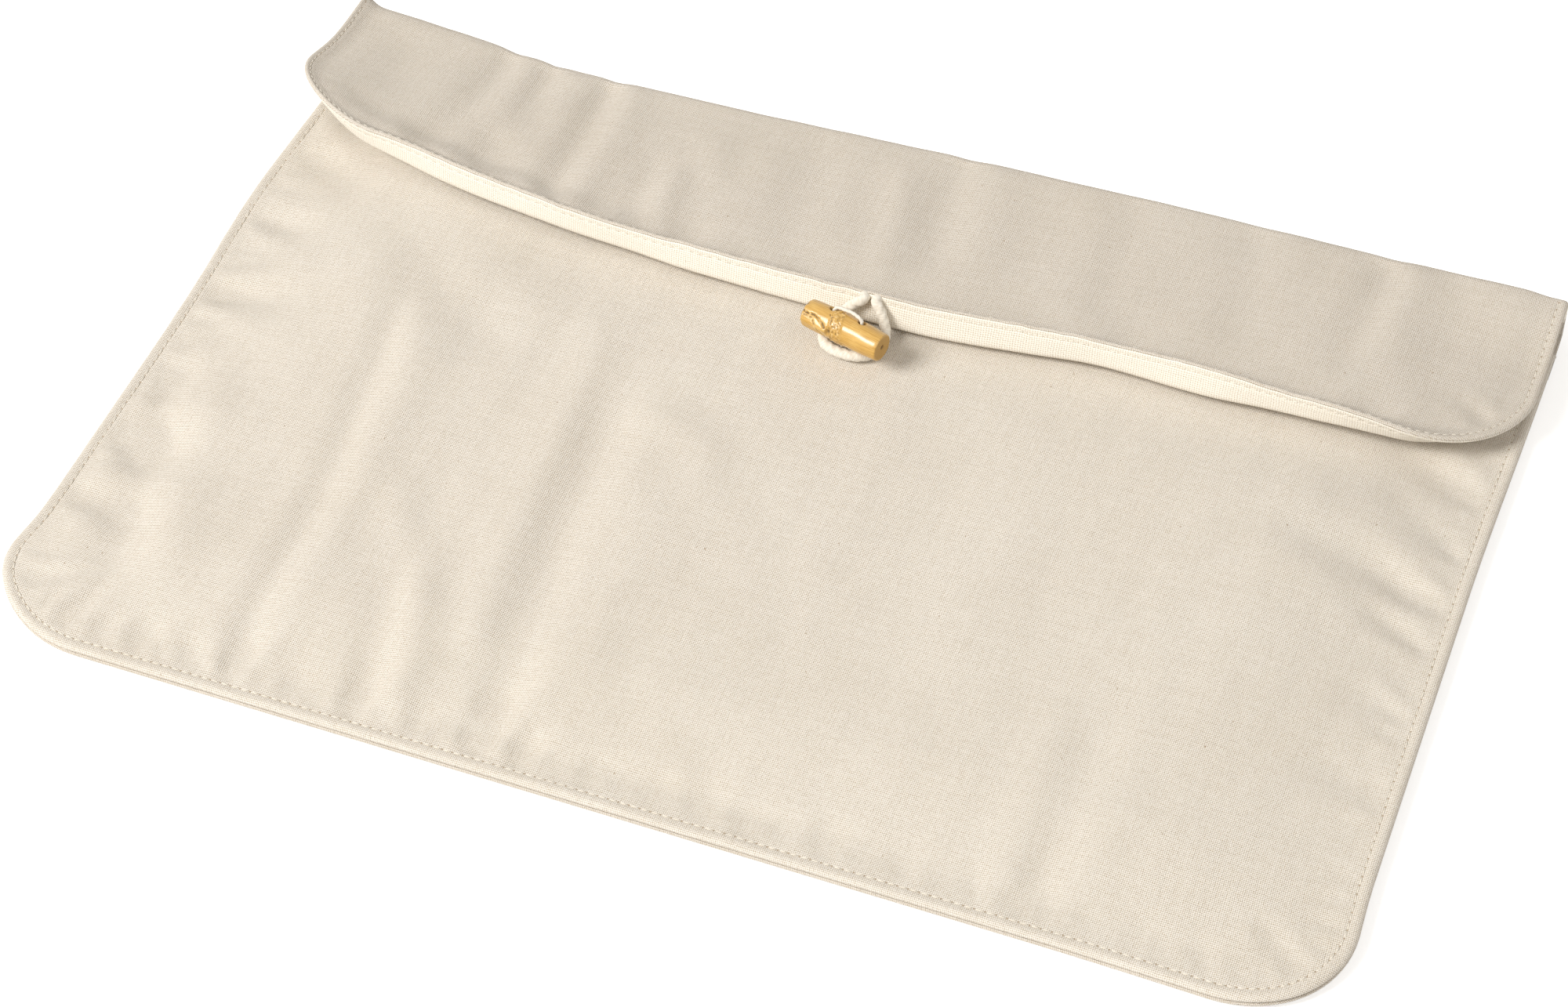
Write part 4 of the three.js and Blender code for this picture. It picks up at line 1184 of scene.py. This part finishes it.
# Cord loop: its route as distances across from the toggle's middle, shares of the reach to the lip and
# shares of the rise to the lip
LOOP_ROUTE = [
    (1.1, 1, 1), (1.0, 0.87, 0.99), (-1.4, 0.8, 0.8), (-3.8, 0.72, 0.52), (-6.0, 0.58, 0.22),
    (-7.5, 0.37, 0.02), (-7.6, 0.15, 0), (-6.3, -0.02, 0), (-3.6, -0.13, 0), (0.2, -0.18, 0),
    (4.2, -0.17, 0), (7.6, -0.06, 0), (9.8, 0.13, 0), (10.4, 0.36, 0.02), (9.8, 0.58, 0.2),
    (8.5, 0.7, 0.48), (6.9, 0.79, 0.78), (5.2, 0.87, 0.99), (5.1, 1, 1),
]


def smooth_route(points, count):
    """Even points along a smooth curve through the given ones."""
    dense = []
    for index in range(len(points) - 1):
        p1, p2 = points[index], points[index + 1]
        p0 = points[index - 1] if index else p1 * 2 - p2
        p3 = points[index + 2] if index + 2 < len(points) else p2 * 2 - p1
        for step in range(24):
            t = step / 24
            bend, swing = 2 * p0 - 5 * p1 + 4 * p2 - p3, 3 * p1 - p0 - 3 * p2 + p3
            dense.append(0.5 * (2 * p1 + (p2 - p0) * t + bend * t * t + swing * t ** 3))
    dense.append(points[-1])
    lengths = [0.0]
    for a, b in zip(dense, dense[1:]):
        lengths.append(lengths[-1] + (b - a).length)
    even = []
    for index in range(count):
        goal = lengths[-1] * index / (count - 1)
        at = min(max(bisect_right(lengths, goal) - 1, 0), len(dense) - 2)
        share = (goal - lengths[at]) / max(lengths[at + 1] - lengths[at], 1e-9)
        even.append(dense[at].lerp(dense[at + 1], min(share, 1.0)))
    return even, lengths[-1]


def tube_mesh(path, sides, radius, map_name):
    """Closed tube along a path; radius takes the length along it and the angle round it."""
    last = len(path) - 1
    mesh = bmesh.new()
    bmesh.ops.create_grid(mesh, x_segments=last, y_segments=sides, size=0.5)
    layer = mesh.loops.layers.uv.new(map_name)
    tangents = [(path[min(i + 1, last)] - path[max(i - 1, 0)]).normalized() for i in range(len(path))]
    up = Vector((0, 0, 1)) if abs(tangents[0].z) < 0.8 else Vector((1, 0, 0))
    frames, length = [], 0.0
    for index, tangent in enumerate(tangents):
        up = (up - tangent * up.dot(tangent)).normalized()
        if index:
            length += (path[index] - path[index - 1]).length
        frames.append((path[index], up, tangent.cross(up), length))
    values = {}
    for vertex in mesh.verts:
        around = vertex.co.y + 0.5
        centre, up, beside, length = frames[round((vertex.co.x + 0.5) * last)]
        angle = around * tau
        reach = radius(length, angle)
        values[vertex] = (length * MM, around)
        vertex.co = to_metres(centre + up * (cos(angle) * reach) + beside * (sin(angle) * reach))
    for face in mesh.faces:
        for loop in face.loops:
            loop[layer].uv = values[loop.vert]
    bmesh.ops.remove_doubles(mesh, verts=mesh.verts, dist=1e-6)
    bmesh.ops.holes_fill(mesh, edges=mesh.edges, sides=sides + 2)
    bmesh.ops.recalc_face_normals(mesh, faces=mesh.faces)
    return mesh


def make_loop():
    points = []
    for across, forward, height in LOOP_ROUTE:
        points.append(Vector((
            TOGGLE_CENTRE.x + across,
            TOGGLE_CENTRE.y + forward * LOOP_REACH,
            lerp(LOOP_LYING, LOOP_EXIT, height),
        )))
    path, length = smooth_route(points, 180)

    def strands(along, angle):
        return LOOP_DIAMETER / 2 * (0.95 + 0.05 * cos(3 * (angle - along * tau / 8.0)))

    rope = finish_piece("loop_rope", tube_mesh(path, 30, strands, "cord"), CORD, None)
    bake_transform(rope)
    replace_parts(rope, "loop_cord")

    low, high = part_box("loop_tail")
    tails = bmesh.new()
    for end in (path[0], path[-1]):
        centre = Vector((end.x * MM, low.y - 0.8 * MM, (low.z + high.z) / 2 - 0.4 * MM))
        size = Vector((3.0 * MM, 1.3 * MM, high.z - low.z))
        shape = Matrix.Translation(centre) @ Matrix.Diagonal((*size, 1))
        made = bmesh.ops.create_cube(tails, size=1.0, matrix=shape)
        edges = list({edge for vertex in made["verts"] for edge in vertex.link_edges})
        bmesh.ops.bevel(
            tails, geom=edges, offset=0.45 * MM, segments=3, profile=0.5, affect="EDGES", material=-1)
    tail_map = tails.loops.layers.uv.new("cord")
    for face in tails.faces:
        for loop in face.loops:
            loop[tail_map].uv = (loop.vert.co.z, loop.vert.co.x * 90)
    sewn_ends = finish_piece("loop_sewn_ends", tails, CORD, "flap")
    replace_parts(sewn_ends, "loop_tail")

    tack_places = []
    for index in range(9):
        x = lerp(1.6, 8.6, index / 8)
        middle = (OUTER_CLOTH.point(x, 3.2)[0] + INNER_CLOTH.point(x, 2.6)[0]) / 2
        lean = Vector((0.4, 0.2, 1.0)) if index % 2 else Vector((-0.3, 0.2, 1.0))
        tack_places.append((settle(middle), lean, Vector((0, -1, 0.2))))
    stitch_row("loop_tack_stitches", "loop_bartack", "flap", tack_places, TACK_STITCH)


# Toggle: its length, the radius of its skin, its holes' distance from its middle, and its section
TOGGLE_LENGTH = 27.0
TOGGLE_HALF = TOGGLE_LENGTH / 2
SKIN_RADIUS = 4.6
HOLE_PLACE = 5.1
TOGGLE_SECTION = [
    (-13.5, 0.0), (-13.5, 0.75), (-13.45, 1.1), (-13.5, 3.5), (-13.38, 3.9), (-13.1, 4.2),
    (-12.5, 4.38), (-10.0, 4.5), (-6.0, 4.6), (0.0, 4.68), (6.0, 4.6), (10.0, 4.5), (12.6, 4.4),
    (13.25, 4.3), (13.45, 4.12), (13.5, 3.85), (13.45, 1.1), (13.5, 0.75), (13.5, 0.0),
]
# Cracks in the toggle's skin: width, depth and the places they run through, as length and angle
TOGGLE_CRACKS = [
    (0.34, 0.5, [(-13.6, -1.02), (-11.6, -1.2), (-9.4, -1.1), (-7.4, -1.22), (-5.6, -1.42), (-4.4, -1.6)]),
    (0.22, 0.4, [(-8.9, -1.5), (-7.4, -1.85), (-6.0, -2.15), (-4.6, -2.6)]),
    (0.2, 0.3, [(-12.6, -1.32), (-10.6, -1.38), (-9.2, -1.3)]),
    (0.16, 0.25, [(-4.6, -0.62), (-3.2, -0.9), (-2.6, -1.3)]),
]


def skin_distance(x, angle, line):
    """Distance over the toggle's skin from a line of places."""
    nearest = TOGGLE_LENGTH
    along = x + 0.25 * noise.noise(Vector((x, angle * 5, 4)))
    around = angle * SKIN_RADIUS + 0.3 * noise.noise(Vector((x, angle * 5, 1)))
    here = Vector((along, around))
    for (x0, angle0), (x1, angle1) in zip(line, line[1:]):
        start, end = Vector((x0, angle0 * SKIN_RADIUS)), Vector((x1, angle1 * SKIN_RADIUS))
        run = end - start
        share = clamp((here - start).dot(run) / run.length_squared)
        nearest = min(nearest, (here - start - run * share).length)
    return nearest


def toggle_relief(x, angle):
    """Height over the toggle's even skin, with how dark and how pale it is there."""
    around = angle * SKIN_RADIUS
    fibre = noise.noise(Vector((x / 0.55, around / 0.8, 2)))
    fibre += 0.7 * noise.noise(Vector((x / 0.9, around / 0.36, 6)))
    ring = ease((2.6 - abs(x + 1.5 + 1.1 * sin(angle + 1.1))) / 0.8)
    height = 0.1 * noise.noise(Vector((x / 5, angle, 9))) + ring * (0.22 + 0.17 * fibre)
    dark = ring * 0.55 * ease((-fibre - 0.05) / 0.5)
    pale = ring * 0.5 * ease((fibre - 0.1) / 0.5)
    beside = (angle + 1.76) * SKIN_RADIUS
    bud = exp(-(beside / 1.2) ** 2) * ease((-3.5 - x) / 0.5) * lerp(0.35, 1.0, ease((x + TOGGLE_HALF) / 9))
    pit = exp(-((x + 2.9) / 0.5) ** 2 - (beside / 0.8) ** 2)
    notch = exp(-((x + 13.3) / 0.6) ** 2 - ((angle + 0.45) * SKIN_RADIUS / 0.7) ** 2)
    height += 0.7 * bud - 0.7 * pit - 0.3 * notch
    dark = max(dark, 0.9 * pit, 0.85 * notch)
    for width, depth, line in TOGGLE_CRACKS:
        off = skin_distance(x, angle, line)
        chip = noise.noise(Vector((x / 0.8, angle * 3, width * 50)))
        height -= depth * exp(-(off / width) ** 2)
        dark = max(dark, exp(-(off / (0.8 * width)) ** 2) * ease(0.6 + 1.6 * chip))
        pale = max(pale, exp(-(off / (2.0 * width)) ** 2) * ease(-1.8 * chip))
    return height, dark, pale


def make_toggle():
    turn = Matrix.Rotation(TOGGLE_YAW, 3, "Z") @ Matrix.Rotation(TOGGLE_ROLL, 3, "X")
    sections = []
    for (x0, r0), (x1, r1) in zip(TOGGLE_SECTION, TOGGLE_SECTION[1:]):
        count = max(1, ceil(hypot(x1 - x0, r1 - r0) / 0.22))
        sections += [(lerp(x0, x1, i / count), lerp(r0, r1, i / count)) for i in range(count)]
    sections.append(TOGGLE_SECTION[-1])
    mesh = bmesh.new()
    line = [mesh.verts.new((x, 0, r)) for x, r in sections]
    edges = [mesh.edges.new(pair) for pair in zip(line, line[1:])]
    bmesh.ops.spin(
        mesh, geom=line + edges, cent=(0, 0, 0), axis=(1, 0, 0), angle=tau, steps=128, use_merge=True)
    bmesh.ops.remove_doubles(mesh, verts=mesh.verts, dist=1e-4)
    bmesh.ops.recalc_face_normals(mesh, faces=mesh.faces)
    marks = mesh.verts.layers.float_vector.new("marks")
    grain = mesh.loops.layers.uv.new("grain")
    values = {}
    for vertex in mesh.verts:
        x, y, z = vertex.co
        radius, angle = hypot(y, z), atan2(y, z)
        values[vertex] = (x / TOGGLE_LENGTH + 0.5, angle / tau + 0.5)
        out = Vector((0, y, z)).normalized() if radius > 1e-6 else Vector((0, 0, 0))
        skin = ease((radius - 3.2) / 0.8)
        height, dark, pale = toggle_relief(x, angle)
        hole = 0.0
        for end in (-1, 1):
            if z > 0:
                hole = max(hole, 1 - ease((hypot((x - end * HOLE_PLACE) / 1.15, y) - 0.95) / 0.3))
        at_end = abs(x) > TOGGLE_HALF - 0.5
        pith = 1 - ease((radius - 0.55) / 0.3) if at_end else 0.0
        bare = 1 - ease((radius - 3.7) / 0.4) if at_end else 0.0
        # The thread holes go into the dark mark: painted shade in the holes.
        vertex[marks] = (max(0.97 * hole, dark * skin, 0.85 * pith), pale * skin, bare)
        bow = Vector((0, 0, -0.25 * (x / TOGGLE_HALF) ** 2))
        inwards = Vector((-0.7 * pith * (1 if x > 0 else -1), 0, 0))
        vertex.co = vertex.co + out * ((height - 3.0 * hole) * skin) + bow * skin + inwards
    for face in mesh.faces:
        rounds = [values[loop.vert][1] for loop in face.loops]
        wraps = max(rounds) - min(rounds) > 0.5
        for loop in face.loops:
            along, around = values[loop.vert]
            loop[grain].uv = (along, around + 1 if wraps and around < 0.5 else around)
    bmesh.ops.transform(mesh, matrix=turn.to_4x4(), verts=mesh.verts)
    bmesh.ops.translate(mesh, verts=mesh.verts, vec=TOGGLE_CENTRE)
    bmesh.ops.scale(mesh, verts=mesh.verts, vec=(MM, MM, MM))
    toggle = finish_piece("bamboo_toggle", mesh, BAMBOO, "toggle")
    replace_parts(toggle, "toggle")

    legs = []
    for end, side in ((-1, Vector((-1.2, 1.2, -8.9))), (1, Vector((1.4, 1.2, -8.9)))):
        holes = [turn @ Vector((end * x, 0, z)) for x, z in ((4.7, 4.9), (5, 3.6), (5, 0), (5, -4.0))]
        under = holes[-1].lerp(side, 0.5) + Vector((0, 0.9, 1.4))
        legs.append([point + TOGGLE_CENTRE for point in (*holes, under, side + Vector((0, 0, 2.2)), side)])
    over = []
    for x in (-3.8, -2.4, -0.8, 0.8, 2.4, 3.8):
        point = Vector((x, 0.12 * sin(x * 1.3), 5.45 + 0.55 * (1 - (x / 4.2) ** 2)))
        over.append(turn @ point + TOGGLE_CENTRE)
    route = legs[0][::-1] + over + legs[1]
    path, _ = smooth_route(route, 120)

    def strands(along, angle):
        return 0.62 * (0.9 + 0.1 * cos(2 * (angle - along * tau / 3.2)))

    mesh = tube_mesh(path, 16, strands, "cord")
    stem = finish_piece("toggle_sewing_thread", mesh, THREAD, "toggle")
    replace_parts(stem, "toggle_thread")

    coil, turns, steps = [], 5, 160
    for index in range(steps):
        angle = index / steps * turns * tau
        reach = lerp(1.2, 6.2, index / steps)
        x, y = TOGGLE_CENTRE.x + reach * cos(angle), TOGGLE_CENTRE.y + reach * sin(angle)
        coil.append(Vector((x, y, front_height(x, y, HALF_WIDTH, 0.0) - 1.3)))
    mesh = tube_mesh(coil, 8, lambda along, angle: 0.5, "cord")
    tack = finish_piece("toggle_back_tack", mesh, THREAD, "pouch")
    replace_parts(tack, "toggle_tack")


# Floor and light
def seen_as_background(n):
    """1 for the camera's own rays and for those that gloss and glass send on."""
    rays = n.add("ShaderNodeLightPath").outputs
    sent_on = n.math("MAXIMUM", rays["Is Glossy Ray"], rays["Is Transmission Ray"])
    return n.math("MAXIMUM", rays["Is Camera Ray"], sent_on)


def make_stage():
    mesh = bmesh.new()
    bmesh.ops.create_grid(mesh, x_segments=2, y_segments=2, size=6.0)
    bmesh.ops.translate(mesh, verts=mesh.verts, vec=(0, 0, -0.0004))
    data = bpy.data.meshes.new("pale_floor")
    mesh.to_mesh(data)
    mesh.free()
    material, n, shader = new_finish("pale_floor")
    cloudy = n.noise(n.object_place(), 3.0, 1.0)
    n.feed(shader.inputs["Base Color"], n.colour(cloudy, (0.9, 0.9, 0.9, 1), (0.92, 0.92, 0.92, 1)))
    shader.inputs["Roughness"].default_value = 0.9
    n.feed(shader.inputs["Emission Strength"], n.math("MULTIPLY", seen_as_background(n), 0.5))
    shader.inputs["Emission Color"].default_value = (1, 1, 1, 1)
    data.materials.append(material)
    floor = bpy.data.objects.new("pale_floor", data)
    scene.collection.objects.link(floor)

    world = bpy.data.worlds.new("studio")
    scene.world = world
    world.use_nodes = True
    world.node_tree.nodes.clear()
    n = Nodes(world.node_tree)
    around, white = n.add("ShaderNodeBackground"), n.add("ShaderNodeBackground")
    around.inputs["Color"].default_value = (1.0, 0.965, 0.91, 1)
    around.inputs["Strength"].default_value = 0.42
    white.inputs["Strength"].default_value = 1.0
    white.inputs["Color"].default_value = (1, 1, 1, 1)
    mix, out = n.add("ShaderNodeMixShader"), n.add("ShaderNodeOutputWorld")
    n.feed(mix.inputs[0], seen_as_background(n))
    n.feed(mix.inputs[1], around.outputs[0])
    n.feed(mix.inputs[2], white.outputs[0])
    n.feed(out.inputs[0], mix.outputs[0])

    for name, place, size, power, tint in (
        ("front_softbox", (-2.15, -2.05, 2.75), 1.5, 162.0, (1.0, 0.985, 0.96)),
        ("right_fill", (1.6, -0.6, 1.3), 1.2, 8.0, (1.0, 0.98, 0.95)),
    ):
        data = bpy.data.lights.new(name, "AREA")
        data.shape = "SQUARE"
        data.size = size
        data.energy = power
        data.color = tint
        lamp = bpy.data.objects.new(name, data)
        lamp.location = place
        lamp.rotation_euler = (-Vector(place)).to_track_quat("-Z", "Y").to_euler()
        scene.collection.objects.link(lamp)


make_loop()
make_front()
make_back()
make_flap()
make_stitches()
make_toggle()
make_stage()
